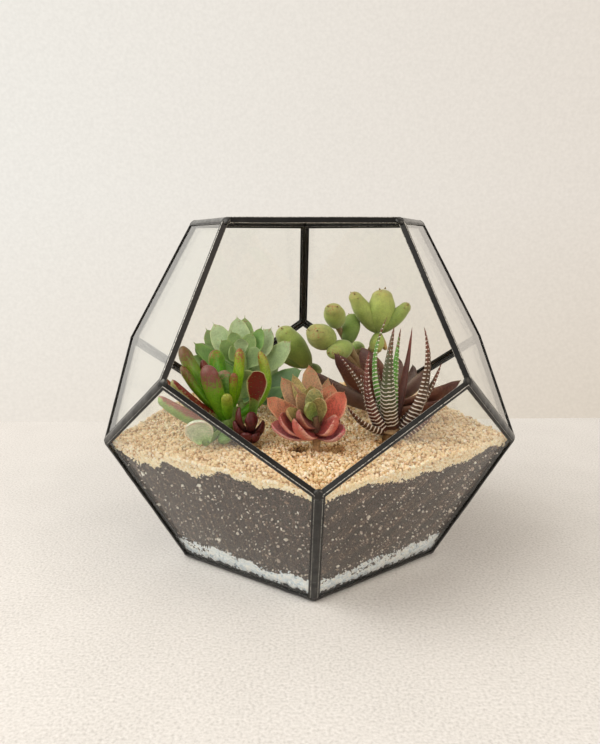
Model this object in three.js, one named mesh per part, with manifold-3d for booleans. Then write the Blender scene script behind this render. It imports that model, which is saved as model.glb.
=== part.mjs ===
// A planted glass terrarium with twelve five-sided faces. Eleven panes sit in metal channels that are
// soldered edge to edge, the front upper face is open, and layers of drainage stone, soil and gravel
// hold seven kinds of succulent. Millimetres, +Z up, the open face towards -Y, base centred on the origin.
import * as THREE from "three";
import { mergeVertices } from "three/addons/utils/BufferGeometryUtils.js";
import Module from "manifold-3d";

const wasm = await Module();
wasm.setup();

// ---- Case: the twenty corners lie on four rings of five ----
const LOWER_BELT_RADIUS = 110.1;
const UPPER_BELT_RADIUS = 109.1;
const LOWER_BELT_HEIGHT = 68.2;
const UPPER_BELT_HEIGHT = 111.4;
const TOP_HEIGHT = 178.3;
const OPENING_FLARE = 3; // the open face's two widest corners are sprung apart by this, along their seams

// ---- Channel and glass ----
const CHANNEL_THICKNESS = 2.8; // over both legs
const CHANNEL_LEG = 1.3; // from the back of the channel to the edge of a leg
const CHANNEL_WALL = 0.35;
const GLASS_THICKNESS = 1.5;
const GLASS_GAP = 0.3; // round the glass edge, inside the channel
const SEAM_GAP = 0.2; // each channel stands this far back from the seam's middle
const OPEN_EDGE_SETBACK = 0.3; // along the open face, where no second channel meets the first
const OPEN_EDGE_LEG = 2.1; // the channel is deeper there

// ---- Solder ----
const SOLDER_DEPTH = 1.8; // how far the solder reaches in from the outer faces
const SOLDER_GAP = 0.3; // between the solder and the channels
const SOLDER_FLAT_DEPTH = 0.7; // how far the sharp edge of a seam is dressed back
const OPENING_CLEARANCE = 2; // no solder this close round the open face

// ---- Fill ----
const FILL_GAP = 0.3;
const LAYER_GAP = 0.3;
const DRAINAGE_HEIGHT = 11.2;
const SOIL_HEIGHT = 63.8;
const GRAVEL_HEIGHT = 69.6;
const GRAVEL_SLOPE = 0.018; // the gravel rises towards the back
const GRAVEL_LUMP_SPACING = 16;
const GRAVEL_LUMP_RISE = 0.7; // above and below the gravel's level
const GRAVEL_ROW_BEND = 1.6; // radians
const GRAVEL_BEND_LENGTHS = [17, 21]; // each slow wave's length over 2 pi
const GRAVEL_STEP = 8; // between the points of its surface
const SOIL_WAVES = [[1.4, 3, 1.1], [0.9, 7, 0.4]]; // each wave's rise, number round the case and shift in radians
const BLOCK_REACH = 120; // the blocks that the layers are cut from end outside the case
const BLOCK_RADII = [60, 130];
const BLOCK_SECTORS = 30;
const STEM_HOLE_GAP = 0.3;
const STEM_FOOT_HEIGHT = 58; // every stem ends here, in the soil
const BELOW_FLOOR = -10; // a height under the case

const FACE_TURN = THREE.MathUtils.degToRad(72);
const HALF_TURN = FACE_TURN / 2;

// =========================== plain geometry ===========================

// A point at an angle from the front, counted towards +X.
function onRing(radius, angle, height) {
  return new THREE.Vector3(radius * Math.sin(angle), -radius * Math.cos(angle), height);
}

// Triangles over numbered points, with their faces turned outwards.
function closedMesh(points, triangles) {
  let volume = 0;
  for (const [a, b, c] of triangles) {
    volume += points[a].dot(points[b].clone().cross(points[c]));
  }
  const outward = volume > 0 ? triangles : triangles.map(([a, b, c]) => [a, c, b]);
  const geometry = new THREE.BufferGeometry().setFromPoints(points);
  geometry.setIndex(outward.flat());
  return geometry;
}

// A skin over rows of points. Each row goes round once, and a last row of one point is a tip.
function skin(rows, closed = false) {
  const count = rows[0].length;
  const triangles = [];
  const spans = closed ? rows.length : rows.length - 1;
  for (let row = 0; row < spans; row++) {
    const here = row * count;
    const next = ((row + 1) % rows.length) * count;
    const atTip = rows[(row + 1) % rows.length].length === 1;
    for (let i = 0; i < count; i++) {
      const j = (i + 1) % count;
      if (atTip) {
        triangles.push([here + i, here + j, next]);
      } else {
        triangles.push([here + i, here + j, next + j], [here + i, next + j, next + i]);
      }
    }
  }
  if (!closed) {
    for (let i = 1; i < count - 1; i++) {
      triangles.push([0, i + 1, i]);
    }
    if (rows.at(-1).length === count) {
      const first = spans * count;
      for (let i = 1; i < count - 1; i++) {
        triangles.push([first, first + i, first + i + 1]);
      }
    }
  }
  return closedMesh(rows.flat(), triangles);
}

// =========================== solids ===========================

function solid(geometry) {
  const bare = geometry.clone();
  bare.deleteAttribute("normal");
  bare.deleteAttribute("uv");
  const merged = mergeVertices(bare);
  return new wasm.Manifold(new wasm.Mesh({
    numProp: 3,
    vertProperties: Float32Array.from(merged.attributes.position.array),
    triVerts: Uint32Array.from(merged.index.array),
  }));
}

function geometryOf(body) {
  const mesh = body.getMesh();
  const geometry = new THREE.BufferGeometry();
  geometry.setAttribute("position", new THREE.BufferAttribute(Float32Array.from(mesh.vertProperties), 3));
  geometry.setIndex(new THREE.BufferAttribute(Uint32Array.from(mesh.triVerts), 1));
  return geometry;
}

function joined(bodies) {
  return bodies.reduce((sum, body) => sum.add(body));
}

// The leaves of a plant fused into one body, with any hollow that they close between them filled.
function fused(bodies) {
  const skins = joined(bodies).decompose();
  return skins.reduce((largest, other) => (other.volume() > largest.volume() ? other : largest));
}

function cutBy(body, cutters) {
  return cutters.reduce((rest, cutter) => rest.subtract(cutter), body);
}

// =========================== the case ===========================

// The radii of the base and the top follow from the belts, so that every face is flat.
function baseRadius() {
  const cos = Math.cos(HALF_TURN);
  const rise = UPPER_BELT_HEIGHT - LOWER_BELT_HEIGHT;
  const level = UPPER_BELT_HEIGHT * LOWER_BELT_RADIUS * cos - LOWER_BELT_HEIGHT * UPPER_BELT_RADIUS;
  return level / (cos * rise);
}

function topRadius() {
  const cos = Math.cos(HALF_TURN);
  const slope = (UPPER_BELT_RADIUS * cos - LOWER_BELT_RADIUS) / (UPPER_BELT_HEIGHT - LOWER_BELT_HEIGHT);
  return (LOWER_BELT_RADIUS + slope * (TOP_HEIGHT - LOWER_BELT_HEIGHT)) / cos;
}

const RINGS = {
  base: { radius: baseRadius(), height: 0, turn: 0 },
  lower: { radius: LOWER_BELT_RADIUS, height: LOWER_BELT_HEIGHT, turn: 0 },
  upper: { radius: UPPER_BELT_RADIUS, height: UPPER_BELT_HEIGHT, turn: HALF_TURN },
  top: { radius: topRadius(), height: TOP_HEIGHT, turn: HALF_TURN },
};

const RING_NAMES = Object.keys(RINGS);
const CORNERS = RING_NAMES.flatMap((name) => {
  const { radius, height, turn } = RINGS[name];
  return [0, 1, 2, 3, 4].map((i) => onRing(radius, turn + i * FACE_TURN, height));
});

function corner(ring, place) {
  return RING_NAMES.indexOf(ring) * 5 + (((place % 5) + 5) % 5);
}

// The two side corners of the open face give way along the seams below them, so every glazed face stays flat.
for (const [place, below] of [[0, 1], [-1, -1]]) {
  const sprung = corner("upper", place);
  const towards = corner("lower", below);
  const seam = CORNERS[towards].clone().sub(CORNERS[sprung]).normalize();
  CORNERS[sprung].addScaledVector(seam, OPENING_FLARE);
}

// Each face lists its corners counter-clockwise, seen from outside. Place 0 is at the front.
function caseFaces() {
  const faces = [
    { name: "bottom", corners: [4, 3, 2, 1, 0].map((i) => corner("base", i)) },
    { name: "top", corners: [0, 1, 2, 3, 4].map((i) => corner("top", i)) },
  ];
  for (let i = 0; i < 5; i++) {
    const low = [["base", i], ["base", i + 1], ["lower", i + 1], ["upper", i], ["lower", i]];
    const high = [["top", i], ["top", i - 1], ["upper", i - 1], ["lower", i], ["upper", i]];
    const upperName = i === 0 ? "open" : `upper_${i}`;
    faces.push({ name: `lower_${i + 1}`, corners: low.map(([ring, place]) => corner(ring, place)) });
    faces.push({ name: upperName, corners: high.map(([ring, place]) => corner(ring, place)) });
  }
  for (const face of faces) {
    // The first, second and fourth corners lie even on both sides of the open face, which isn't quite flat.
    const [a, b, , d] = face.corners.map((i) => CORNERS[i]);
    face.normal = b.clone().sub(a).cross(d.clone().sub(b)).normalize();
    face.level = face.normal.dot(a);
  }
  return faces;
}

const FACES = caseFaces();
const OPEN_FACE = FACES.find((face) => face.name === "open");
const GLAZED_FACES = FACES.filter((face) => face !== OPEN_FACE);

// The face on the far side of an edge.
function neighbour(face, from, to) {
  return FACES.find((other) => other !== face && other.corners.includes(from) && other.corners.includes(to));
}

// Where three planes meet.
function meeting(planes) {
  const [p, q, r] = planes;
  const qr = q.normal.clone().cross(r.normal);
  const rp = r.normal.clone().cross(p.normal);
  const pq = p.normal.clone().cross(q.normal);
  const point = qr.multiplyScalar(p.level).addScaledVector(rp, q.level).addScaledVector(pq, r.level);
  return point.divideScalar(p.normal.dot(q.normal.clone().cross(r.normal)));
}

// The whole twelve-sided solid with every face moved in by a depth.
function caseSolid(depth) {
  const points = CORNERS.map((place, i) => {
    const planes = FACES.filter((face) => face.corners.includes(i));
    return meeting(planes.map(({ normal }) => ({ normal, level: normal.dot(place) - depth })));
  });
  const triangles = FACES.flatMap(({ corners: [a, b, c, d, e] }) => [[a, b, c], [a, c, d], [a, d, e]]);
  return solid(closedMesh(points, triangles));
}

// How far a channel stands back from each edge of its face, so that two square channels meet in the seam.
function setbacks(face) {
  return face.corners.map((from, i) => {
    const other = neighbour(face, from, face.corners[(i + 1) % 5]);
    if (other === OPEN_FACE) {
      return OPEN_EDGE_SETBACK;
    }
    const dihedral = Math.PI - face.normal.angleTo(other.normal);
    return CHANNEL_THICKNESS / Math.tan(dihedral / 2) + SEAM_GAP;
  });
}

// The face's outline with each edge moved in by its own distance, sunk by a depth.
function outline(face, distances, depth = 0) {
  const sides = face.corners.map((from, i) => {
    const start = CORNERS[from];
    const along = CORNERS[face.corners[(i + 1) % 5]].clone().sub(start).normalize();
    const normal = along.cross(face.normal);
    return { normal, level: normal.dot(start) - distances[i] };
  });
  const plane = { normal: face.normal, level: face.level - depth };
  return sides.map((side, i) => meeting([sides[(i + 4) % 5], side, plane]));
}

// A slab of a face between two depths. A negative depth is outside the case.
function slab(face, distances, from, to) {
  return skin([outline(face, distances, from), outline(face, distances, to)]);
}

function inwards(distances, extra) {
  return distances.map((distance) => distance + extra);
}

// A U-shaped channel bent round a pane and mitred at the five corners.
function channelGeometry(face) {
  const back = setbacks(face);
  const web = inwards(back, CHANNEL_WALL);
  const lip = back.map((distance) => {
    return distance + (distance === OPEN_EDGE_SETBACK ? OPEN_EDGE_LEG : CHANNEL_LEG);
  });
  const near = CHANNEL_WALL;
  const far = CHANNEL_THICKNESS - CHANNEL_WALL;
  const section = [
    [back, 0], [lip, 0], [lip, near], [web, near],
    [web, far], [lip, far], [lip, CHANNEL_THICKNESS], [back, CHANNEL_THICKNESS],
  ];
  const runs = section.map(([distances, depth]) => outline(face, distances, depth));
  return skin([0, 1, 2, 3, 4].map((i) => runs.map((run) => run[i])), true);
}

function paneGeometry(face) {
  const edge = inwards(setbacks(face), CHANNEL_WALL + GLASS_GAP);
  const outside = (CHANNEL_THICKNESS - GLASS_THICKNESS) / 2;
  return slab(face, edge, outside, outside + GLASS_THICKNESS);
}

// A block that takes the sharp edge off a seam.
function seamDresser(face, other, from, to) {
  const reach = 8;
  const start = CORNERS[from];
  const end = CORNERS[to];
  const out = face.normal.clone().add(other.normal).normalize();
  const block = new THREE.BoxGeometry(start.distanceTo(end) + 2 * reach, reach, reach);
  const along = end.clone().sub(start).normalize();
  block.applyMatrix4(new THREE.Matrix4().makeBasis(along, out.clone().cross(along), out));
  const centre = start.clone().lerp(end, 0.5).addScaledVector(out, reach / 2 - SOLDER_FLAT_DEPTH);
  block.translate(...centre);
  return solid(block);
}

// One run of solder fills the seams between the channels, all round the case but not round its open face.
function solderBody() {
  const seams = caseSolid(0).subtract(caseSolid(SOLDER_DEPTH));
  const outside = -CHANNEL_THICKNESS;
  const inside = 3 * CHANNEL_THICKNESS;
  const channels = GLAZED_FACES.map((face) => {
    return solid(slab(face, inwards(setbacks(face), -SOLDER_GAP), outside, inside));
  });
  const opening = solid(slab(OPEN_FACE, Array(5).fill(-OPENING_CLEARANCE), outside, inside));
  const dressers = [];
  for (const face of GLAZED_FACES) {
    face.corners.forEach((from, i) => {
      const to = face.corners[(i + 1) % 5];
      const other = neighbour(face, from, to);
      if (other !== OPEN_FACE && from < to) {
        dressers.push(seamDresser(face, other, from, to));
      }
    });
  }
  return cutBy(seams, [...channels, opening, ...dressers]);
}

// =========================== the fill ===========================

function drainageTop(x, y) {
  const angle = Math.atan2(x, -y);
  return DRAINAGE_HEIGHT + Math.sin(4 * angle) + 0.8 * Math.sin(9 * angle + 2);
}

function soilTop(x, y) {
  const angle = Math.atan2(x, -y);
  return SOIL_WAVES.reduce((height, [rise, count, shift]) => {
    return height + rise * Math.sin(count * angle + shift);
  }, SOIL_HEIGHT);
}

// Where the gravel has been pushed aside round a stem: x, y, radius and depth.
const HOLLOWS = [
  [-6, -49, 5, 1.8], [11, -49.5, 5, 1.8], [-30, -44, 5, 1.6], [38, -40, 6, 1.8], [-38, -37, 5, 1.5],
];

// Uneven lumps on a gentle slope. Slow waves bend their rows, so that they don't line up.
function gravelTop(x, y) {
  const pace = (2 * Math.PI) / GRAVEL_LUMP_SPACING;
  const [bendAlong, bendAcross] = GRAVEL_BEND_LENGTHS;
  const across = Math.cos(pace * x + GRAVEL_ROW_BEND * Math.sin(y / bendAlong));
  const along = Math.cos(pace * y + GRAVEL_ROW_BEND * Math.sin(x / bendAcross + 1));
  const level = GRAVEL_HEIGHT + GRAVEL_SLOPE * y + GRAVEL_LUMP_RISE * across * along;
  return HOLLOWS.reduce((height, [cx, cy, radius, depth]) => {
    const reach = ((x - cx) ** 2 + (y - cy) ** 2) / radius ** 2;
    return height - depth * Math.exp(-reach);
  }, level);
}

// A surface's height, with room for the gap over it.
function above(top) {
  return (x, y) => top(x, y) + LAYER_GAP;
}

// A round block between two heights that vary only round its edge.
function layerBlock(bottom, top) {
  const surface = (height) => {
    const rings = BLOCK_RADII.map((radius) => Array.from({ length: BLOCK_SECTORS }, (_, i) => {
      const point = onRing(radius, (i / BLOCK_SECTORS) * 2 * Math.PI, 0);
      return point.setZ(height(point.x, point.y));
    }));
    return [new THREE.Vector3(0, 0, height(0, 0)), ...rings.flat()];
  };
  const floor = surface(bottom);
  const roof = surface(top);
  const triangles = [];
  const lift = floor.length;
  const at = (ring, i) => 1 + ring * BLOCK_SECTORS + (i % BLOCK_SECTORS);
  for (let i = 0; i < BLOCK_SECTORS; i++) {
    triangles.push([lift, lift + at(0, i), lift + at(0, i + 1)], [0, at(0, i + 1), at(0, i)]);
    for (let ring = 0; ring < BLOCK_RADII.length - 1; ring++) {
      const quad = [at(ring, i), at(ring + 1, i), at(ring + 1, i + 1), at(ring, i + 1)];
      const [a, b, c, d] = quad;
      triangles.push([lift + a, lift + b, lift + c], [lift + a, lift + c, lift + d], [a, c, b], [a, d, c]);
    }
    const rim = BLOCK_RADII.length - 1;
    triangles.push([at(rim, i), at(rim, i + 1), lift + at(rim, i + 1)]);
    triangles.push([at(rim, i), lift + at(rim, i + 1), lift + at(rim, i)]);
  }
  return solid(closedMesh([...floor, ...roof], triangles));
}

// A square block that ends in the gravel's lumpy surface.
function gravelBlock() {
  const count = (2 * BLOCK_REACH) / GRAVEL_STEP + 1;
  const places = Array.from({ length: count }, (_, i) => i * GRAVEL_STEP - BLOCK_REACH);
  const rows = places.map((y) => places.map((x) => new THREE.Vector3(x, y, gravelTop(x, y))));
  const triangles = [];
  for (let row = 0; row < count - 1; row++) {
    for (let i = 0; i < count - 1; i++) {
      const [a, b] = [row * count + i, row * count + i + 1];
      const [c, d] = [b + count, a + count];
      triangles.push([a, b, c], [a, c, d]);
    }
  }
  // The sides and the floor hang from the surface's rim.
  const last = count - 1;
  const rim = [
    ...places.map((_, i) => i),
    ...places.map((_, i) => i * count + last).slice(1),
    ...places.map((_, i) => last * count + last - i).slice(1),
    ...places.map((_, i) => (last - i) * count).slice(1, -1),
  ];
  const surface = rows.flat();
  const floor = rim.map((i) => surface[i].clone().setZ(BELOW_FLOOR));
  const centre = surface.length + floor.length;
  rim.forEach((here, i) => {
    const next = rim[(i + 1) % rim.length];
    const under = surface.length + i;
    const underNext = surface.length + ((i + 1) % rim.length);
    triangles.push([here, under, underNext], [here, underNext, next], [centre, underNext, under]);
  });
  return solid(closedMesh([...surface, ...floor, new THREE.Vector3(0, 0, BELOW_FLOOR)], triangles));
}

function fillSpace() {
  return caseSolid(CHANNEL_THICKNESS + FILL_GAP);
}

function fillLayer(bottom, top) {
  return fillSpace().intersect(layerBlock(bottom, top));
}

function gravelLayer() {
  const underneath = layerBlock(() => 2 * BELOW_FLOOR, above(soilTop));
  return fillSpace().intersect(gravelBlock()).subtract(underneath);
}

// =========================== leaves and stems ===========================

// A leaf's form: rows of how far along, and what part of the full width and thickness it has there.
const BROAD_LEAF = [[0, 0.4, 0.9], [0.34, 0.7, 1], [0.7, 1, 0.75], [0.9, 0.66, 0.45]];
const BOAT_LEAF = [[0, 0.5, 0.8], [0.3, 0.84, 1], [0.62, 1, 0.9], [0.87, 0.6, 0.55]];
const CHUNKY_LEAF = [[0, 0.55, 0.8], [0.3, 0.9, 1], [0.62, 1, 0.92], [0.87, 0.66, 0.6]];
const DISC_LEAF = [[0, 0.4, 1], [0.25, 0.8, 1], [0.55, 1, 0.8], [0.82, 0.8, 0.6], [0.95, 0.42, 0.45]];
const FINGER_LEAF = [[0, 0.5, 0.6], [0.3, 0.78, 0.9], [0.62, 1, 1], [0.86, 0.92, 0.9], [0.96, 0.55, 0.55]];
const SPOON_LEAF = [[0, 0.36, 0.8], [0.32, 0.5, 1], [0.6, 0.92, 0.9], [0.8, 1, 0.75], [0.95, 0.6, 0.55]];
const PLUMP_LEAF = [
  [0, 0.25, 0.3], [0.12, 0.6, 0.65], [0.35, 0.92, 0.95], [0.62, 1, 1], [0.86, 0.78, 0.75], [0.96, 0.42, 0.42],
];

// Cross-sections as part of the half width and of the thickness. The upper face of a blade is hollow.
const BLADE_SECTION = [[1, 0.15], [0, -0.15], [-1, 0.15], [-0.62, -0.68], [0, -0.85], [0.62, -0.68]];
const ROUND_SECTION = Array.from({ length: 8 }, (_, i) => {
  return [Math.cos((i * Math.PI) / 4), 0.5 * Math.sin((i * Math.PI) / 4)];
});

// A closed leaf from root to tip. Its upper face looks to a point, and its middle bows away from there.
function leaf({ root, tip, facing, width, thickness, bow, form, section }) {
  const middle = root.clone().lerp(tip, 0.5);
  const along = tip.clone().sub(root).normalize();
  const up = facing.clone().sub(middle);
  up.addScaledVector(along, -up.dot(along)).normalize();
  const across = along.clone().cross(up);
  const spine = new THREE.QuadraticBezierCurve3(root, middle.addScaledVector(up, -2 * bow), tip);
  const rows = form.map(([t, wide, thick]) => {
    const centre = spine.getPoint(t);
    const normal = across.clone().cross(spine.getTangent(t)).normalize();
    return section.map(([side, rise]) => {
      const point = centre.clone().addScaledVector(across, (side * wide * width) / 2);
      return point.addScaledVector(normal, rise * thick * thickness);
    });
  });
  return solid(skin([...rows, [tip]]));
}

function point([x, y, z]) {
  return new THREE.Vector3(x, y, z);
}

// A round bar between two points, with its own radius at each end.
function bar(from, to, fromRadius, toRadius, sides = 8) {
  const length = from.distanceTo(to);
  const geometry = new THREE.CylinderGeometry(toRadius, fromRadius, length, sides);
  const along = to.clone().sub(from).normalize();
  geometry.applyQuaternion(new THREE.Quaternion().setFromUnitVectors(new THREE.Vector3(0, 1, 0), along));
  geometry.translate(...from.clone().lerp(to, 0.5));
  return solid(geometry);
}

function stem({ foot: [x, y], stemRadius, heart }) {
  return bar(new THREE.Vector3(x, y, STEM_FOOT_HEIGHT), point(heart), stemRadius, stemRadius);
}

// Leaves round a short core. Each row is a leaf's tip, its width, how far up the core it grows and any bow of
// its own. Low leaves may start away from the core's axis, by the plant's spread.
function rosette(plant) {
  const heart = point(plant.heart);
  const crown = point(plant.crown);
  const facing = point(plant.facing);
  const leaves = plant.leaves.map(([x, y, z, width, place, bow = plant.bow]) => {
    const tip = new THREE.Vector3(x, y, z);
    const root = heart.clone().lerp(crown, place);
    const outward = tip.clone().sub(root).setZ(0).normalize();
    root.addScaledVector(outward, (plant.spread ?? 0) * (1 - place));
    return leaf({
      root, tip, facing, width,
      thickness: plant.thickness * (1 - 0.4 * place),
      bow: bow * root.distanceTo(tip),
      form: plant.form,
      section: plant.section,
    });
  });
  const core = bar(heart, crown, plant.coreRadius, plant.coreRadius * 0.5, 6);
  return fused([stem(plant), core, ...leaves]);
}

// ---- The plants: where each stands, the point its leaves' upper faces look to, and the leaves' tips ----

const GREEN_ROSETTE = {
  foot: [-36, 10], stemRadius: 3.5, heart: [-36, 10, 80], crown: [-37, 8, 106], coreRadius: 5,
  facing: [-37, -26, 124], thickness: 3.4, bow: 0.1, form: BROAD_LEAF, section: BLADE_SECTION,
  leaves: [
    [-40, 21, 126, 13, 0.6], [-36, 30, 125, 12.5, 0.4], [-25, 35, 117, 11, 0.3], [-20, 17, 120, 13, 0.6],
    [-9, 12, 113, 13, 0.4], [-54, 22, 122, 13, 0.6], [-59, 29, 118, 13, 0.35], [-64, 13, 112, 12, 0.4],
    [-66, 3, 106, 12, 0.3], [-48, 4, 115, 10, 0.7], [-26, 2, 110, 11, 0.7], [-3, 3, 98, 13, 0.2],
    [-12, -8, 88, 13, 0.1], [-35, -10, 101, 11, 0.5], [-52, -5, 98, 12, 0.3], [-27, -11, 88, 13, 0.1],
    [-47, 42, 102, 13, 0.1], [-28, 43, 103, 13, 0.1], [-17, 29, 100, 13, 0.1], [-61, 18, 94, 13, 0.1],
    [-31, 14, 118, 9, 0.85], [-43, 12, 119, 9, 0.85], [-37, 6, 116, 8, 0.95], [-4, 14, 86, 12.5, 0],
    [-61, -1, 86, 12, 0], [-25.5, 14, 121, 9, 0.6], [-63, 5, 113, 9, 0.5], [-47, -8, 104, 8, 0.6],
    [-42, -6, 112, 8, 0.8],
  ],
};

const PINK_ROSETTE = {
  foot: [2, -51], stemRadius: 2, heart: [2, -51, 77.5], crown: [1, -53, 86], coreRadius: 2.6,
  facing: [-1, -78, 109], thickness: 5.4, bow: 0.1, form: CHUNKY_LEAF, section: BLADE_SECTION,
  leaves: [
    [-22, -54, 96, 11, 0.3], [-20, -60, 85, 10, 0.05], [-16, -62, 89.5, 11.5, 0.15], [-8, -67, 88, 12, 0.1],
    [9.5, -65, 89, 10, 0.2], [15, -53, 98.5, 12, 0.3], [14.5, -61, 83, 10, 0], [-6.5, -65, 92.5, 8, 0.5],
    [-15, -45, 104, 9.5, 0.4], [-9.5, -43, 105, 7, 0.5], [-1.5, -40, 109, 10.5, 0.5], [-7, -56, 99, 8, 0.7],
    [-1, -49, 101, 9, 0.7], [0.5, -55, 101, 9, 0.8], [-2, -60, 94.5, 7, 0.9], [10, -44, 100.5, 11.5, 0.3],
    [8, -42, 103, 6.5, 0.4], [3.5, -57, 96.5, 8, 0.75], [-12.5, -61, 92.5, 8, 0.5], [14, -47, 84, 9, 0],
    [-15, -43, 90, 10, 0],
  ],
};

const RED_OFFSET = {
  foot: [-31, -42], stemRadius: 1.4, heart: [-31, -42, 73], crown: [-31, -42, 79], coreRadius: 1.8,
  facing: [-31, -42, 94], thickness: 4.2, bow: 0.14, form: BROAD_LEAF, section: BLADE_SECTION,
  leaves: [
    [-35, -43, 88.5, 6.5, 0.5], [-29.5, -44.5, 86.5, 7, 0.5], [-24, -42, 81.5, 6.5, 0.2],
    [-37.5, -43.5, 82, 6, 0.2], [-32, -48, 77, 6.5, 0.1], [-26.5, -47, 76.5, 6, 0.1], [-30, -39, 85, 5, 0.6],
  ],
};

const DARK_ROSETTE = {
  foot: [46, 1], stemRadius: 3, heart: [46, 1, 75], crown: [46, 0, 90], coreRadius: 4,
  facing: [46, 32, 112], thickness: 3.8, bow: 0.09, form: BOAT_LEAF, section: BLADE_SECTION,
  leaves: [
    [13, -8, 109, 14, 0.3], [29, 6, 110, 14, 0.6], [2, 3, 97, 14, 0], [82, -8, 94, 14, 0.2],
    [68, 9, 98, 13, 0.4], [19, 23, 94, 14, 0], [62, 27, 96, 14, 0.1], [42, 27, 98, 13, 0.2],
    [50, 8, 104, 10, 0.8], [43, -3, 103, 10, 0.8], [73, -12, 84, 12, 0],
  ],
};

// Thickness as part of the width
const FINGER_FLATNESS = 0.72;
const SPOON_FLATNESS = 0.7;
const FRONT_LEAF_FLATNESS = 0.4;

const FINGER_PLANT = {
  foot: [-42, -26], stemRadius: 4, heart: [-42, -26, 74], crown: [-42, -25, 84], coreRadius: 5.5,
  facing: [-42, -20, 134], bow: 0.05, neckRadius: 1.8, frontBow: 1,
  // Each row is a finger's tip, its width, how far up the core it grows and any bow of its own.
  fingers: [
    [-51, -37, 108, 11, 0.2], [-65, -24, 115.5, 11, 0.3], [-49, -14, 112, 10, 0.6], [-55, -22, 108, 7, 0.5],
    [-36, -22, 114, 8, 0.6], [-26, -20, 112, 8.2, 0.4, 0.28], [-41.5, -41, 94.5, 6, 0.3],
    [-43.5, -29, 104, 8.6, 0.7], [-38.5, -31, 103, 5, 0.7], [-64.5, -31, 106.5, 7, 0.4],
    [-43, -50, 73.5, 6.5, 0],
  ],
  spoons: [
    [-68, -37, 101, 8.5, 0.3], [-73, -29, 100, 8, 0.2], [-73, -46, 95, 10, 0.1],
  ],
  // These stand on necks of their own and turn their hollow faces to the front.
  frontLeaves: [
    { neck: [-29.5, -33, 81], tip: [-26, -38, 105], facing: [-28, -90, 102], width: 10, form: SPOON_LEAF },
    {
      neck: [-51.5, -50, 72.5], tip: [-55.5, -57, 84.5], facing: [-60, -110, 84], width: 13.5,
      form: DISC_LEAF,
    },
  ],
};

const ZEBRA_PLANT = {
  foot: [40, -33], stemRadius: 4, heart: [40, -33, 72], crown: [41, -32, 80], coreRadius: 6.5, spread: 5.5,
  facing: [47, -26, 127], thickness: 4.6, bow: 0.13, ridges: 5, ridgeRise: 0.3,
  leaves: [
    [14, -22, 111, 6, 0.3, -0.05], [28, -39, 115, 7.5, 0.3], [38.5, -26, 130.5, 6.8, 0.8],
    [40, -38, 127, 9.5, 0.5], [45, -28, 125, 6, 0.8, 0.04], [52.5, -18, 124, 5.5, 0.5, 0.05],
    [55.5, -33, 126, 8.8, 0.1, 0.13], [60, -23, 104, 7, 0.3], [67.5, -22, 106, 6.5, 0.2, 0.06],
    [17.5, -41, 88, 8, 0.3, 0.1], [62.5, -46, 93.5, 8, 0.1, 0.1], [27, -14, 100, 8, 0.1, 0.07],
    [36, -10, 104, 8, 0.3, 0.07],
  ],
};

const PLUMP_FLATNESS = 0.85; // a leaf's thickness as part of its width

// Plump leaves on a branching stem. A leaf grows from the end of the named branch.
const PLUMP_RIGHT = {
  foot: [35, 42], stemRadius: 2.2, heart: [34, 41, 90], bow: 0.02,
  branches: {
    high: [43, 37, 113.5], left: [24, 31, 107], crest: [18, 34, 118], far: [14, 27, 109], back: [31, 44, 102],
  },
  leaves: [
    ["high", [44.5, 36, 139], 18], ["high", [26.5, 34, 137.5], 12.5], ["high", [60, 33, 131], 10.5],
    ["high", [50, 54, 128], 10], ["high", [40.5, 32, 102], 9], ["high", [47.5, 35, 103], 4.5],
    ["crest", [14, 18, 131], 12.5], ["far", [3, 13, 118], 17], ["left", [14, 10, 105.5], 13],
    ["left", [28, 41, 124], 11], ["back", [33, 62, 101], 10],
  ],
};

const PLUMP_LEFT = {
  foot: [3, 41], stemRadius: 2, heart: [2, 40, 86], bow: 0.02,
  branches: { tip: [2, 38, 93] },
  leaves: [
    ["tip", [-15.5, 34, 117], 17.5], ["tip", [-14, 33, 98], 6.5], ["tip", [-17, 54, 103], 11],
    ["tip", [8, 52, 87], 8],
  ],
};

function fingerPlant() {
  const plant = FINGER_PLANT;
  const heart = point(plant.heart);
  const crown = point(plant.crown);
  const grow = (form, section, flatness) => ([x, y, z, width, place, ownBow = plant.bow]) => {
    const tip = new THREE.Vector3(x, y, z);
    const root = heart.clone().lerp(crown, place);
    const bow = ownBow * root.distanceTo(tip);
    const facing = point(plant.facing);
    return leaf({ root, tip, facing, width, thickness: width * flatness, bow, form, section });
  };
  const frontLeaves = plant.frontLeaves.flatMap(({ neck, tip, facing, width, form }) => {
    const root = point(neck);
    return [
      bar(heart, root, plant.neckRadius, plant.neckRadius),
      leaf({
        root, tip: point(tip), facing: point(facing), width, thickness: width * FRONT_LEAF_FLATNESS,
        bow: plant.frontBow, form, section: BLADE_SECTION,
      }),
    ];
  });
  return fused([
    stem(plant),
    bar(heart, crown, plant.coreRadius, plant.coreRadius * 0.8),
    ...plant.fingers.map(grow(FINGER_LEAF, ROUND_SECTION, FINGER_FLATNESS)),
    ...plant.spoons.map(grow(SPOON_LEAF, BLADE_SECTION, SPOON_FLATNESS)),
    ...frontLeaves,
  ]);
}

// A tapering leaf whose section swells at each of its raised bands.
function bandedForm(ridges, rise) {
  const form = [[0, 0.8, 1]];
  for (let i = 1; i < 2 * ridges; i++) {
    const t = 0.04 + (0.9 * i) / (2 * ridges);
    const taper = Math.pow(1 - t, 0.75);
    const swell = 1 + (i % 2 ? rise : -rise) * 0.5;
    form.push([t, taper * swell, taper * swell]);
  }
  return form;
}

function zebraPlant() {
  const plant = ZEBRA_PLANT;
  return rosette({ ...plant, form: bandedForm(plant.ridges, plant.ridgeRise), section: BLADE_SECTION });
}

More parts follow.
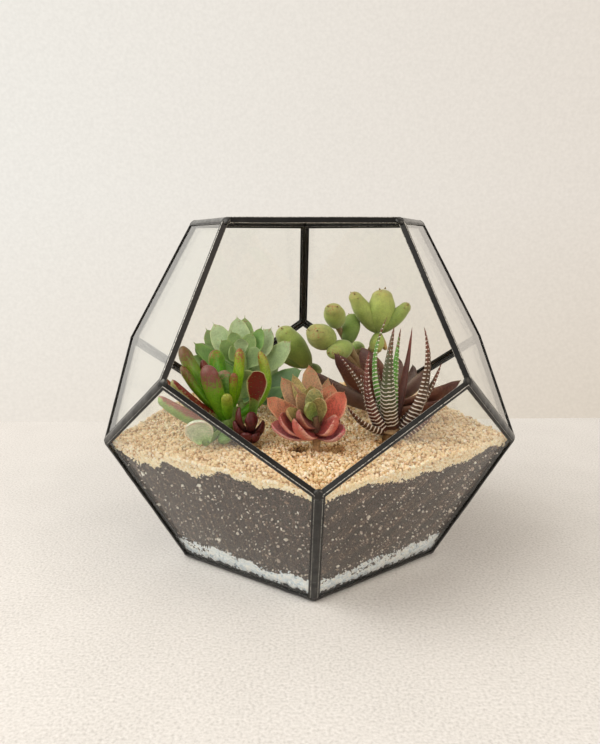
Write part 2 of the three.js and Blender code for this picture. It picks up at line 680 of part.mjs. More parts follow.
function plumpPlant(plant) {
  const heart = point(plant.heart);
  const branches = Object.values(plant.branches).map((end) => {
    return bar(heart, point(end), plant.stemRadius, plant.stemRadius * 0.8);
  });
  const leaves = plant.leaves.map(([branch, end, width]) => {
    const root = point(plant.branches[branch]);
    const tip = point(end);
    const facing = root.clone().add(new THREE.Vector3(0, 0, 80));
    const bow = plant.bow * root.distanceTo(tip);
    const thickness = width * PLUMP_FLATNESS;
    return leaf({ root, tip, facing, width, thickness, bow, form: PLUMP_LEAF, section: ROUND_SECTION });
  });
  return fused([stem(plant), ...branches, ...leaves]);
}

// A plain hole for each stem, in line with it.
function stemHoles(plants) {
  return plants.map(({ foot: [x, y], stemRadius, heart }) => {
    const radius = stemRadius + STEM_HOLE_GAP;
    return bar(new THREE.Vector3(x, y, STEM_FOOT_HEIGHT - STEM_HOLE_GAP), point(heart), radius, radius);
  });
}

// =========================== the scene graph ===========================

function finish(color, roughness, metalness = 0) {
  return new THREE.MeshStandardMaterial({ color, roughness, metalness });
}

const clearGlass = new THREE.MeshStandardMaterial({
  color: 0xe6efe9, roughness: 0.05, metalness: 0, transparent: true, opacity: 0.25,
});
const darkMetal = finish(0x35312d, 0.45, 0.8);
const darkSolder = finish(0x3b3835, 0.35, 0.9);

const terrarium = new THREE.Group();

function addPart(name, geometry, material) {
  const mesh = new THREE.Mesh(geometry, material);
  mesh.name = name;
  terrarium.add(mesh);
}

for (const face of GLAZED_FACES) {
  addPart(`pane_${face.name}`, paneGeometry(face), clearGlass);
  addPart(`channel_${face.name}`, channelGeometry(face), darkMetal);
}
addPart("solder_seams", geometryOf(solderBody()), darkSolder);

const PLANTS = [
  GREEN_ROSETTE, PINK_ROSETTE, RED_OFFSET, DARK_ROSETTE, FINGER_PLANT, ZEBRA_PLANT, PLUMP_RIGHT, PLUMP_LEFT,
];
const below = () => BELOW_FLOOR;
const holes = stemHoles(PLANTS);

addPart("drainage_layer", geometryOf(fillLayer(below, drainageTop)), finish(0xdde3e6, 0.9));
addPart("soil", geometryOf(cutBy(fillLayer(above(drainageTop), soilTop), holes)), finish(0x4a4035, 1));
addPart("top_gravel", geometryOf(cutBy(gravelLayer(), holes)), finish(0xc9ab83, 0.95));

addPart("green_rosette", geometryOf(rosette(GREEN_ROSETTE)), finish(0x9dbb8a, 0.55));
addPart("pink_rosette", geometryOf(rosette(PINK_ROSETTE)), finish(0xb8604f, 0.5));
addPart("red_offset", geometryOf(rosette(RED_OFFSET)), finish(0x5b1a24, 0.5));
addPart("dark_rosette", geometryOf(rosette(DARK_ROSETTE)), finish(0x5a2a22, 0.5));
addPart("finger_plant", geometryOf(fingerPlant()), finish(0x6f9a2e, 0.4));
addPart("zebra_plant", geometryOf(zebraPlant()), finish(0x4c5535, 0.5));
addPart("plump_plant_right", geometryOf(plumpPlant(PLUMP_RIGHT)), finish(0x8ea64e, 0.6));
addPart("plump_plant_left", geometryOf(plumpPlant(PLUMP_LEFT)), finish(0x9aa04f, 0.6));

export default terrarium;
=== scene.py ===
import itertools
import math

import bpy
import numpy as np
from mathutils import Matrix


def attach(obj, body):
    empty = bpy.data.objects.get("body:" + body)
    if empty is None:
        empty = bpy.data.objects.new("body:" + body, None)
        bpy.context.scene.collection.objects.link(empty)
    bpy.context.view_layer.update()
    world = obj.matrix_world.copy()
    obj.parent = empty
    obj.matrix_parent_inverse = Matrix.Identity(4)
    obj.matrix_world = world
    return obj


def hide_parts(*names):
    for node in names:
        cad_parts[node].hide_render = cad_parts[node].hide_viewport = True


# The looks of a planted glass terrarium: eleven panes in patinated metal channels, soldered seam by seam,
# round layers of white drainage stone, potting soil and tan gravel, and seven kinds of succulent.
# Shapes are worked out in millimetres, +Z up, with the open face towards -Y. Meshes are in metres.

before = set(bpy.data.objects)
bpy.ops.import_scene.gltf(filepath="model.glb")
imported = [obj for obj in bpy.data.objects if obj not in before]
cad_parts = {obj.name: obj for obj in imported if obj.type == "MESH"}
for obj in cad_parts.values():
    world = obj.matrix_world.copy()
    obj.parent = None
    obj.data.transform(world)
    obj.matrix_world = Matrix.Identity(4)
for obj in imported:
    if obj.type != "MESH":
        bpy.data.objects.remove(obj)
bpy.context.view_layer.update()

MM = 0.001
ROOT = "root"
rng = np.random.default_rng(12)

# ---- Case ----
LOWER_BELT_RADIUS = 110.1
UPPER_BELT_RADIUS = 109.1
LOWER_BELT_HEIGHT = 68.2
UPPER_BELT_HEIGHT = 111.4
TOP_HEIGHT = 178.3
OPENING_FLARE = 3       # the open face's two widest corners are sprung apart by this, along their seams
FACE_TURN = math.radians(72)
HALF_TURN = FACE_TURN / 2

# ---- Channel, glass and solder ----
CHANNEL_THICKNESS = 2.8
CHANNEL_LEG = 1.3
CHANNEL_WALL = 0.35
OPEN_EDGE_LEG = 2.1
OPEN_EDGE_SETBACK = 0.3
SEAM_GAP = 0.2
ARRIS_RADIUS = 0.32     # the rounded outer corners of a channel
LIP_RADIUS = 0.12
GLASS_BACK = 2.15       # the glass's inner face lies this far in from the case's outside
SOLDER_TOP = 0.62       # a bead's crest lies this far in from the sharp seam
SOLDER_ROOT = 2.2

# ---- Fill ----
FILL_DEPTH = 3.1        # the fill starts this far in from the case's outside
LAYER_GAP = 0.3
DRAINAGE_HEIGHT = 11.2
SOIL_HEIGHT = 63.8
GRAVEL_HEIGHT = 69.6
GRAVEL_SLOPE = 0.018
GRAVEL_LUMP_SPACING = 16
GRAVEL_LUMP_RISE = 0.7
GRAVEL_ROW_BEND = 1.6   # radians
GRAVEL_BEND_LENGTHS = (17, 21)      # the waves that bend the rows are 2 pi times as long

# ---- Loose grains ----
RIM_RADIUS = 97.0       # about where the gravel's edge meets the glass
MARBLE_CHIPS = 1900
MARBLE_CREST = 1700     # chips that stand up from the drainage layer's edge
PALE_CHIPS = 2600       # bark and pumice in the soil
SOIL_CRUMBS = 4200      # crumbs pushed up into the gravel's edge
SOIL_SPILLS = 2400      # crumbs fallen down over the drainage layer's edge
RIM_GRAINS = 3900       # gravel against the glass
SLIPPED_GRAINS = 3600   # gravel fallen down over the soil's edge
GRAIN_SPACING = 1.58    # of the gravel on top
MARBLE_EDGE, SOIL_EDGE = 71, 81     # seeds of the two ragged edges
EDGE_WAVE, EDGE_WAVE_RISE = 15, 7.0
EDGE_NOTCH, EDGE_NOTCH_RISE = 6, 3.0
EDGE_LIMIT = 4.5        # neither edge wanders further up or down than this


# =========================== numbers and shapes ===========================

def vec(*values):
    return np.array(values, dtype=float)


def unit(v):
    return v / np.linalg.norm(v)


def rise(low, high, value):
    """0 below low, 1 above high, and smooth between them."""
    x = np.clip((value - low) / (high - low), 0, 1)
    return x * x * (3 - 2 * x)


def mix(a, b, share):
    return a + (b - a) * np.asarray(share)[..., None]


def follow(t, knots, values):
    """A smooth curve through the knots."""
    knots, values = np.array(knots, float), np.array(values, float)
    slopes = np.gradient(values, knots)
    i = np.clip(np.searchsorted(knots, t, side="right") - 1, 0, len(knots) - 2)
    step = knots[i + 1] - knots[i]
    s = np.clip((t - knots[i]) / step, 0, 1)
    start, end = values[i], values[i + 1]
    return (
        start * (1 + 2 * s) * (1 - s) ** 2 + end * s * s * (3 - 2 * s)
        + step * (slopes[i] * s * (1 - s) ** 2 - slopes[i + 1] * s * s * (1 - s))
    )


def bumps(points, size, seed=0):
    """Smooth random lumps from -1 to 1, with about the given size in millimetres."""
    cell = np.asarray(points) / size + 19.7 * seed
    base = np.floor(cell)
    part = cell - base
    part = part * part * (3 - 2 * part)
    total = 0
    for step in itertools.product((0, 1), repeat=3):
        weight = np.prod(np.where(step, part, 1 - part), axis=-1)
        code = (base + step) @ vec(127.1, 311.7, 74.7)
        total = total + weight * np.modf(np.sin(code) * 43758.5453)[0]
    return total


def on_ring(radius, angle, height):
    """A point at an angle from the front, counted towards +X."""
    return np.stack(np.broadcast_arrays(radius * np.sin(angle), -radius * np.cos(angle), height), axis=-1)


# =========================== the case's faces ===========================

def base_radius():
    """The base's corners lie in the planes of the lower faces, which both belts set."""
    cos = math.cos(HALF_TURN)
    climb = UPPER_BELT_HEIGHT - LOWER_BELT_HEIGHT
    spread = UPPER_BELT_HEIGHT * LOWER_BELT_RADIUS * cos - LOWER_BELT_HEIGHT * UPPER_BELT_RADIUS
    return spread / (cos * climb)


def top_radius():
    """The top's corners lie in the planes of the upper faces."""
    cos = math.cos(HALF_TURN)
    slope = (UPPER_BELT_RADIUS * cos - LOWER_BELT_RADIUS) / (UPPER_BELT_HEIGHT - LOWER_BELT_HEIGHT)
    return (LOWER_BELT_RADIUS + slope * (TOP_HEIGHT - LOWER_BELT_HEIGHT)) / cos


RINGS = {
    "base": (base_radius(), 0.0, 0.0),
    "lower": (LOWER_BELT_RADIUS, LOWER_BELT_HEIGHT, 0.0),
    "upper": (UPPER_BELT_RADIUS, UPPER_BELT_HEIGHT, HALF_TURN),
    "top": (top_radius(), TOP_HEIGHT, HALF_TURN),
}
CORNERS = {
    (ring, place): on_ring(radius, turn + place * FACE_TURN, height)
    for ring, (radius, height, turn) in RINGS.items() for place in range(5)
}

# The two side corners of the open face give way along the seams below them, so every glazed face stays flat.
for place, below in ((0, 1), (4, 4)):
    seam = unit(CORNERS["lower", below] - CORNERS["upper", place])
    CORNERS["upper", place] = CORNERS["upper", place] + OPENING_FLARE * seam


class Face:
    """One five-sided face, with its corners counter-clockwise from outside."""

    def __init__(self, name, corners):
        self.name = name
        self.corners = [(ring, place % 5) for ring, place in corners]
        # The open face isn't quite flat. Its first, second and fourth corners lie even on both its sides.
        a, b, _, d, _ = (CORNERS[key] for key in self.corners)
        self.normal = unit(np.cross(b - a, d - b))
        self.level = self.normal @ a

    def neighbour(self, i):
        """The face on the far side of the edge from corner i to the next."""
        edge = {self.corners[i], self.corners[(i + 1) % 5]}
        return next(face for face in FACES if face is not self and edge <= set(face.corners))


def case_faces():
    faces = [
        Face("bottom", [("base", i) for i in (4, 3, 2, 1, 0)]),
        Face("top", [("top", i) for i in range(5)]),
    ]
    for i in range(5):
        low = [("base", i), ("base", i + 1), ("lower", i + 1), ("upper", i), ("lower", i)]
        high = [("top", i), ("top", i - 1), ("upper", i - 1), ("lower", i), ("upper", i)]
        faces.append(Face(f"lower_{i + 1}", low))
        faces.append(Face(f"upper_{i}" if i else "open", high))
    return faces


FACES = case_faces()
OPEN_FACE = next(face for face in FACES if face.name == "open")
GLAZED_FACES = [face for face in FACES if face is not OPEN_FACE]
SIDE_FACES = [face for face in FACES if face.name not in ("bottom", "top")]


def setbacks(face):
    """How far the channel stands back from each edge of its face."""
    back = []
    for i in range(5):
        other = face.neighbour(i)
        if other is OPEN_FACE:
            back.append(OPEN_EDGE_SETBACK)
        else:
            dihedral = math.pi - math.acos(face.normal @ other.normal)
            back.append(CHANNEL_THICKNESS / math.tan(dihedral / 2) + SEAM_GAP)
    return np.array(back)


def outline(face, distances, depth=0.0):
    """The face's corners with each edge moved in by its own distance, sunk by a depth."""
    sides = []
    for i, key in enumerate(face.corners):
        start = CORNERS[key]
        along = unit(CORNERS[face.corners[(i + 1) % 5]] - start)
        normal = np.cross(along, face.normal)
        sides.append((normal, normal @ start - distances[i]))
    plane = (face.normal, face.level - depth)
    points = []
    for i in range(5):
        normals, levels = zip(sides[i - 1], sides[i], plane)
        points.append(np.linalg.solve(np.array(normals), np.array(levels)))
    return np.array(points)


def wall_radius(angle, height, depth):
    """How far the case's sides stand from the axis, moved in by a depth."""
    angle, height = np.broadcast_arrays(np.asarray(angle, float), np.asarray(height, float))
    nearest = np.full(angle.shape, np.inf)
    for face in SIDE_FACES:
        x, y, z = face.normal
        towards = x * np.sin(angle) - y * np.cos(angle)
        reach = (face.level - depth - z * height) / np.where(towards > 0.05, towards, np.nan)
        nearest = np.fmin(nearest, reach)
    return nearest


def kept_inside(points, depth):
    """Points moved in where they lie less than a depth behind the case's outside."""
    points = np.array(points)
    for face in FACES:
        over = points @ face.normal - (face.level - depth)
        points -= np.maximum(over, 0)[..., None] * face.normal
    return points


# =========================== meshes ===========================

COLOUR_KINDS = ("flesh", "tint")


class Skin:
    """A mesh in the making, in millimetres, with values kept at its points."""

    def __init__(self, *kinds):
        self.kinds = kinds
        self.points = []
        self.faces = []
        self.values = {kind: [] for kind in kinds}
        self.count = 0

    def add(self, points, faces, **values):
        points = np.asarray(points, float).reshape(-1, 3)
        faces = np.asarray(faces)
        self.faces.extend((faces + self.count).tolist())
        self.points.append(points)
        for kind in self.kinds:
            value = np.asarray(values.get(kind, 0.0), float)
            shape = (len(points), 3) if kind in COLOUR_KINDS else (len(points),)
            self.values[kind].append(np.broadcast_to(value, shape).reshape(shape))
        self.count += len(points)

    def add_mixed(self, points, quads, triangles, **values):
        """Points with both four-sided and three-sided faces."""
        offset = self.count
        self.add(points, np.zeros((0, 3), int), **values)
        self.faces.extend([[i + offset for i in face] for face in quads])
        self.faces.extend([[i + offset for i in face] for face in triangles])

    def piece(self, name, finish, slot, *nodes, smooth=True, sharp=None):
        """Makes the object. It rides on the case and replaces the nodes it stands for. Its slot is not used.
        """
        mesh = bpy.data.meshes.new(name)
        mesh.from_pydata((np.concatenate(self.points) * MM).tolist(), [], self.faces)
        for kind, parts in self.values.items():
            data = np.concatenate(parts)
            if kind in COLOUR_KINDS:
                data = np.concatenate([data, np.ones((len(data), 1))], axis=1)
                layer = mesh.attributes.new(kind, "FLOAT_COLOR", "POINT")
                layer.data.foreach_set("color", data.ravel())
            else:
                layer = mesh.attributes.new(kind, "FLOAT", "POINT")
                layer.data.foreach_set("value", data)
        mesh.polygons.foreach_set("use_smooth", np.full(len(mesh.polygons), smooth))
        if sharp:
            mesh.set_sharp_from_angle(angle=sharp)
        mesh.materials.append(finish)
        mesh.validate()
        piece = bpy.data.objects.new(name, mesh)
        bpy.context.collection.objects.link(piece)
        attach(piece, ROOT)
        if nodes:
            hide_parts(*nodes)


def band_faces(rows, around, closed=False):
    """Four-sided faces between rows of points that go round."""
    faces = []
    for row in range(rows if closed else rows - 1):
        here, there = row * around, ((row + 1) % rows) * around
        for i in range(around):
            j = (i + 1) % around
            faces.append((here + i, here + j, there + j, there + i))
    return faces


def tube(skin, points, end=None, **values):
    """Rows of points that go round, closed at both ends. Faces look outwards."""
    rows, around = points.shape[:2]
    flat = points.reshape(-1, 3)
    start = points[0].mean(axis=0)
    end = points[-1].mean(axis=0) if end is None else end
    flat = np.concatenate([flat, [start, end]])
    first, last = rows * around, rows * around + 1
    quads = np.array(band_faces(rows, around))
    fans = []
    for i in range(around):
        j = (i + 1) % around
        fans.append((first, j, i))
        fans.append((last, (rows - 1) * around + i, (rows - 1) * around + j))
    triangles = np.concatenate([quads[:, [0, 1, 2]], quads[:, [0, 2, 3]], np.array(fans)])
    corners = flat[triangles]
    volume = np.einsum("ij,ij->i", corners[:, 0], np.cross(corners[:, 1], corners[:, 2])).sum()
    if volume < 0:
        quads, fans = quads[:, ::-1], [fan[::-1] for fan in fans]
    ends = {}
    for kind, value in values.items():
        value = np.asarray(value, float)
        if kind in COLOUR_KINDS:
            value = np.broadcast_to(value, (rows, around, 3))
        else:
            value = np.broadcast_to(value, (rows, around))
        shape = (rows * around,) + value.shape[2:]
        ends[kind] = np.concatenate([value.reshape(shape), [value[0, 0], value[-1, 0]]])
    skin.add_mixed(flat, quads.tolist(), list(map(list, fans)), **ends)


# =========================== materials ===========================

def linear(code):
    """The linear colour of an sRGB hex code."""
    parts = [int(code[i:i + 2], 16) / 255 for i in (1, 3, 5)]
    return tuple(p / 12.92 if p <= 0.04045 else ((p + 0.055) / 1.055) ** 2.4 for p in parts)


def rgba(code):
    return (*linear(code), 1.0)


def per_metre(size):
    """A texture's scale for detail of a size in millimetres."""
    return 1 / (size * MM)


# Socket numbers of the Mix node in its colour mode.
MIX_A, MIX_B, MIX_COLOUR = 6, 7, 2

# Most of a noise lies between these.
NOISE_LOW, NOISE_HIGH = 0.3, 0.7


def node(tree, kind, inputs=None, stops=None, **settings):
    """Adds one node with its settings, and sets or links its inputs. Stops are a colour ramp's."""
    made = tree.nodes.new(kind)
    for name, value in settings.items():
        setattr(made, name, value)
    for place, value in (inputs or {}).items():
        if isinstance(value, bpy.types.NodeSocket):
            tree.links.new(value, made.inputs[place])
        else:
            made.inputs[place].default_value = value
    if stops:
        elements = made.color_ramp.elements
        while len(elements) < len(stops):
            elements.new(1.0)
        for element, (place, colour) in zip(elements, stops):
            element.position = place
            element.color = rgba(colour) if isinstance(colour, str) else (colour, colour, colour, 1)
    return made


def noise(tree, place, size, detail):
    """Cloudy patches of about a size in millimetres."""
    return node(tree, "ShaderNodeTexNoise", {
        "Vector": place, "Scale": per_metre(size), "Detail": detail})


def from_noise(tree, patches, low, high):
    """A value that goes from low to high with the noise."""
    return node(tree, "ShaderNodeMapRange", {
        "Value": patches.outputs["Fac"], "From Min": NOISE_LOW, "From Max": NOISE_HIGH,
        "To Min": low, "To Max": high})


def relief_of(tree, patches, strength, depth):
    """Bumps that follow the noise, with a depth in millimetres."""
    return node(tree, "ShaderNodeBump", {
        "Height": patches.outputs["Fac"], "Strength": strength, "Distance": depth * MM})


def ramp(tree, value, stops):
    return node(tree, "ShaderNodeValToRGB", {"Fac": value}, stops=stops)


def blend(tree, share, a, b, how="MIX"):
    """The colour between a and b. A share of 0 gives a."""
    mixed = node(tree, "ShaderNodeMix", {0: share, MIX_A: a, MIX_B: b}, data_type="RGBA", blend_type=how)
    return mixed.outputs[MIX_COLOUR]


def new_finish(name):
    finish = bpy.data.materials.new(name)
    finish.use_nodes = True
    finish.node_tree.nodes.clear()
    return finish, finish.node_tree


def place_of(tree):
    """Where a point of the surface is, in metres."""
    return node(tree, "ShaderNodeTexCoord").outputs["Object"]


def sheet_glass():
    """Soda-lime sheet glass, cut by hand: clear face on, mirror-like at a slant, with a breath of dust.
    The dust lies in clouds 14 mm wide, and the sheet's slow waves are 40 mm long."""
    finish, tree = new_finish("soda_lime_sheet_glass")
    place = place_of(tree)
    dust = noise(tree, place, 14, 5.0)
    veil = ramp(tree, dust.outputs["Fac"], [(0.42, 0.0), (0.72, 0.012)])
    waves = noise(tree, place, 40, 1.0)
    ripple = relief_of(tree, waves, 0.25, 0.4)
    clear = node(tree, "ShaderNodeBsdfTransparent", {"Color": rgba("#fdfdfb")})
    mirror = node(tree, "ShaderNodeBsdfGlossy", {
        "Color": rgba("#ffffff"), "Roughness": 0.03, "Normal": ripple.outputs["Normal"]})
    slant = node(tree, "ShaderNodeLayerWeight", {"Blend": 0.5})
    steep = node(tree, "ShaderNodeMath", {0: slant.outputs["Facing"], 1: 5.0}, operation="POWER")
    share = node(tree, "ShaderNodeMapRange", {"Value": steep.outputs[0], "To Min": 0.03, "To Max": 1.0})
    glass = node(tree, "ShaderNodeMixShader", {
        0: share.outputs[0], 1: clear.outputs[0], 2: mirror.outputs[0]})
    film = node(tree, "ShaderNodeBsdfDiffuse", {"Color": rgba("#efece4")})
    whole = node(tree, "ShaderNodeMixShader", {
        0: veil.outputs["Color"], 1: glass.outputs[0], 2: film.outputs[0]})
    node(tree, "ShaderNodeOutputMaterial", {"Surface": whole.outputs[0]})
    return finish


def patinated_channel():
    """Rolled zinc channel, patinated black and waxed: charcoal and satin, with whitish arrises, where wear
    rubs the patina through and a highlight is painted along each rounded arris. The patina lies in clouds of
    9 mm. Its whitish marks are drawn 0.5 mm wide to show."""
    finish, tree = new_finish("black_patina_zinc_channel")
    place = place_of(tree)
    cloud = noise(tree, place, 9, 6.0)
    grit = noise(tree, place, 0.5, 3.0)
    patina = ramp(tree, cloud.outputs["Fac"], [(0.3, "#100f0f"), (0.55, "#1a1918"), (0.8, "#2b2927")])
    # Whitish marks on the arrises: wear of the patina, and a painted highlight where a rounded arris meets
    # the light.
    edge = node(tree, "ShaderNodeAttribute", attribute_name="arris")
    highlight_and_rub = node(tree, "ShaderNodeMath", {
        0: edge.outputs["Fac"], 1: grit.outputs["Fac"]}, operation="MULTIPLY")
    highlight_and_wear = ramp(tree, highlight_and_rub.outputs[0], [(0.3, 0.0), (0.6, 1.0)])
    colour = blend(tree, highlight_and_wear.outputs["Color"], patina.outputs["Color"], rgba("#c9c6bf"))
    polish = from_noise(tree, cloud, 0.34, 0.5)
    relief = relief_of(tree, grit, 0.25, 0.05)
    metal = node(tree, "ShaderNodeBsdfPrincipled", {
        "Base Color": colour, "Metallic": 0.7, "Roughness": polish.outputs[0],
        "Normal": relief.outputs["Normal"], "Coat Weight": 0.1, "Coat Roughness": 0.25})
    node(tree, "ShaderNodeOutputMaterial", {"Surface": metal.outputs[0]})
    return finish


def patinated_solder():
    """Tin solder under the same patina: nearly black, smoother than the channel, with a greasy shine.
    Its ripples and pools are 4 mm wide, as the iron leaves them."""
    finish, tree = new_finish("black_patina_solder")
    place = place_of(tree)
    pool = noise(tree, place, 4, 4.0)
    patina = ramp(tree, pool.outputs["Fac"], [(0.32, "#1f1f1e"), (0.6, "#302f2d"), (0.78, "#5b5955")])
    polish = from_noise(tree, pool, 0.42, 0.24)
    relief = relief_of(tree, pool, 0.35, 0.2)
    metal = node(tree, "ShaderNodeBsdfPrincipled", {
        "Base Color": patina.outputs["Color"], "Metallic": 0.8, "Roughness": polish.outputs[0],
        "Normal": relief.outputs["Normal"], "Coat Weight": 0.3, "Coat Roughness": 0.2})
    node(tree, "ShaderNodeOutputMaterial", {"Surface": metal.outputs[0]})
    return finish


def mineral(name, stops, fine, rough, glow=0.0, drift_by=0.14):
    """Loose mineral grains. Each grain takes its own colour from the stops, with finer grit on top."""
    finish, tree = new_finish(name)
    place = place_of(tree)
    tone = node(tree, "ShaderNodeAttribute", attribute_name="tone")
    grit = noise(tree, place, fine, 4.0)
    drift = from_noise(tree, grit, -drift_by, drift_by)
    pick = node(tree, "ShaderNodeMath", {0: tone.outputs["Fac"], 1: drift.outputs[0]}, operation="ADD")
    colour = ramp(tree, pick.outputs[0], stops)
    relief = relief_of(tree, grit, 0.6, 0.15)
    stone = node(tree, "ShaderNodeBsdfPrincipled", {
        "Base Color": colour.outputs["Color"], "Roughness": rough, "Normal": relief.outputs["Normal"],
        "Subsurface Weight": glow, "Subsurface Scale": 0.6 * MM})
    node(tree, "ShaderNodeOutputMaterial", {"Surface": stone.outputs[0]})
    return finish


def drainage_stone():
    """Crushed white marble: chalky, bluish white chips with grey faces."""
    return mineral("crushed_white_marble", fine=0.8, rough=0.8, stops=[
        (0.0, "#9fb0c0"), (0.25, "#dbe8f5"), (0.6, "#f0f7ff"), (1.0, "#ffffff")])


def river_gravel():
    """Washed quartz gravel: tan, honey and cream grains, a few brown ones, with matt dusty faces."""
    # The darkest stop is mostly painted shade: the bed between the grains and the grains in the hollows take
    # it.
    return mineral("washed_tan_gravel", fine=0.5, rough=0.75, glow=0.12, stops=[
        (0.0, "#3a2412"), (0.16, "#b98e5a"), (0.36, "#e8c999"), (0.66, "#f8e3bf"), (1.0, "#fff9ec")])


def potting_soil():
    """Peat and bark compost, damp: dark brown crumbs, soft and matt, with reddish and grey specks."""
    return mineral("peat_and_bark_compost", fine=0.8, rough=0.95, drift_by=0.42, stops=[
        (0.0, "#060302"), (0.4, "#281a14"), (0.7, "#463229"), (0.88, "#7c6657"), (1.0, "#b09a8c")])


def soil_chips():
    """Chips of pale bark, pumice and perlite in the compost, from rust brown to dirty white."""
    return mineral("bark_and_pumice_chips", fine=0.4, rough=0.9, stops=[
        (0.0, "#8a7264"), (0.35, "#c9bab0"), (0.7, "#ebe4dc"), (1.0, "#fffdf8")])


FRECKLE_SIZE = 0.9      # a leaf's cells are finer, and are drawn this wide to show
FRECKLE_SPREAD = 0.9    # how unevenly a blush ends
PORE_SIZE = 0.35


def leaf_skin(name, *, rough, bloom=0.0, bloom_colour="#cfdccb", freckles=0.2, depth=0.12, coat=0.0,
              down=0.0, bands=False):
    """Succulent skin. The flesh colour runs along each leaf, a blush breaks into specks where it fades, and
    a waxy bloom lies over it in clouds of 6 mm. Coat is a wet shine, and down is a short fur that lights up
    at a slant. Bands are the chalky ridges across a haworthia's leaf."""
    finish, tree = new_finish(name)
    place = place_of(tree)
    flesh = node(tree, "ShaderNodeAttribute", attribute_name="flesh")
    tint = node(tree, "ShaderNodeAttribute", attribute_name="tint")
    blush = node(tree, "ShaderNodeAttribute", attribute_name="blush")
    cells = noise(tree, place, FRECKLE_SIZE, 2.0)
    cloud = noise(tree, place, 6, 4.0)
    spread = from_noise(tree, cells, -FRECKLE_SPREAD / 2, FRECKLE_SPREAD / 2)
    broken = node(tree, "ShaderNodeMath", {
        0: blush.outputs["Fac"], 1: spread.outputs[0]}, operation="ADD")
    share = ramp(tree, broken.outputs[0], [(0.3, 0.0), (0.7, 1.0)])
    blushed = blend(tree, share.outputs["Color"], flesh.outputs["Color"], tint.outputs["Color"])
    shade = ramp(tree, cloud.outputs["Fac"], [(0.3, 0.8), (0.7, 1.0)])
    clouded = blend(tree, 1.0, blushed, shade.outputs["Color"], "MULTIPLY")
    dots = ramp(tree, cells.outputs["Fac"], [(0.36, 0.15), (0.64, 0.85)])
    mottled = blend(tree, freckles, clouded, dots.outputs["Color"], "OVERLAY")
    wax = node(tree, "ShaderNodeMapRange", {
        "Value": cloud.outputs["Fac"], "From Min": 0.35, "From Max": 0.7,
        "To Min": 0.5 * bloom, "To Max": bloom})
    waxed = blend(tree, wax.outputs[0], mottled, rgba(bloom_colour))
    colour = waxed
    if bands:
        ridge = node(tree, "ShaderNodeAttribute", attribute_name="band")
        chalk = ramp(tree, ridge.outputs["Fac"], [(0.34, 0.0), (0.62, 0.92)])
        colour = blend(tree, chalk.outputs["Color"], waxed, rgba("#ece4da"))
    polish = from_noise(tree, cells, rough - 0.07, rough + 0.09)
    pores = noise(tree, place, PORE_SIZE, 3.0)
    relief = relief_of(tree, pores, 0.3, 0.12)
    skin = node(tree, "ShaderNodeBsdfPrincipled", {
        "Base Color": colour, "Roughness": polish.outputs[0],
        "Normal": relief.outputs["Normal"], "Specular IOR Level": 0.35,
        "Subsurface Weight": depth, "Subsurface Scale": 2.5 * MM,
        "Subsurface Radius": (0.7, 1.0, 0.3), "Coat Weight": coat, "Coat Roughness": 0.25,
        "Sheen Weight": down, "Sheen Roughness": 0.5, "Sheen Tint": rgba("#f2f2e2")})
    node(tree, "ShaderNodeOutputMaterial", {"Surface": skin.outputs[0]})
    return finish


# =========================== metalwork ===========================

CHANNEL_STEPS = 14      # rows of points along each side of a channel
CHANNEL_WAVE, CHANNEL_WAVE_RISE = 11, 0.07
BACK_FLAT = 0.08        # the flat that begins beside a rounded arris
SHARP_ANGLE = math.radians(42)
BEAD_STEPS = 40
BEAD_POINTS = 9
BEAD_END = 1.2          # a bead stops this far short of a corner, where a knot covers it
BEAD_FOOT = 0.12        # its feet sink this far below the channels' faces
BEAD_LAP = 0.1          # and lie this far inside their edges
KNOT_RADIUS = 2.6
KNOT_SINK = 2.3
STAND_CLEAR = 0.02      # solder keeps this far above what the case stands on


def channel_section():
    """Points round the U: share of the leg, millimetres from the back, depth, and how much wear and painted
    highlight it takes.
    """
    arc = [math.radians(a) for a in (180, 207, 243, 270)]
    # The last number of each point weighs its wear and painted highlight: full on the rounded arris, less at
    # the lip.
    near = [(0, ARRIS_RADIUS * (1 + math.cos(a)), ARRIS_RADIUS * (1 + math.sin(a)), w)
            for a, w in zip(arc, (0.5, 1, 1, 0.5))]
    lip = LIP_RADIUS
    outer = [(0, 0, ARRIS_RADIUS + BACK_FLAT, 0)] + near + [(0, ARRIS_RADIUS + BACK_FLAT, 0, 0)]
    outer += [(1, -lip, 0, 0.2), (1, -0.3 * lip, 0.3 * lip, 0.7), (1, 0, lip, 0.3)]
    inner = [(1, 0, CHANNEL_WALL, 0), (0, CHANNEL_WALL, CHANNEL_WALL, 0)]
    half = outer + inner
    other = [(share, reach, CHANNEL_THICKNESS - depth, highlight_and_wear) for share, reach, depth, highlight_and_wear in reversed(half)]
    return half + other


def channel(face, finish):
    """One channel bent round a pane, mitred at its corners and a little uneven, as bent by hand."""
    back = setbacks(face)
    leg = np.where(back == OPEN_EDGE_SETBACK, OPEN_EDGE_LEG, CHANNEL_LEG)
    section = channel_section()
    runs = np.array([outline(face, back + share * leg + reach, depth) for share, reach, depth, _ in section])
    highlight_and_wear = np.array([w for *_, w in section])
    rows = []
    for side in range(5):
        start, end = runs[:, side], runs[:, (side + 1) % 5]
        for step in range(CHANNEL_STEPS):
            rows.append(start + (end - start) * step / CHANNEL_STEPS)
    rows = np.array(rows)
    wave = bumps(rows, CHANNEL_WAVE, seed=3) * CHANNEL_WAVE_RISE
    rows += wave[..., None] * face.normal
    rows[..., 2] = np.clip(rows[..., 2], 0, TOP_HEIGHT)
    skin = Skin("arris")
    faces = band_faces(len(rows), len(section), closed=True)
    skin.add(rows, np.array(faces)[:, ::-1], arris=np.tile(highlight_and_wear, len(rows)))
    name = f"channel_{face.name}"
    skin.piece(f"metal_{name}", finish, "channel_metal", name, sharp=SHARP_ANGLE)


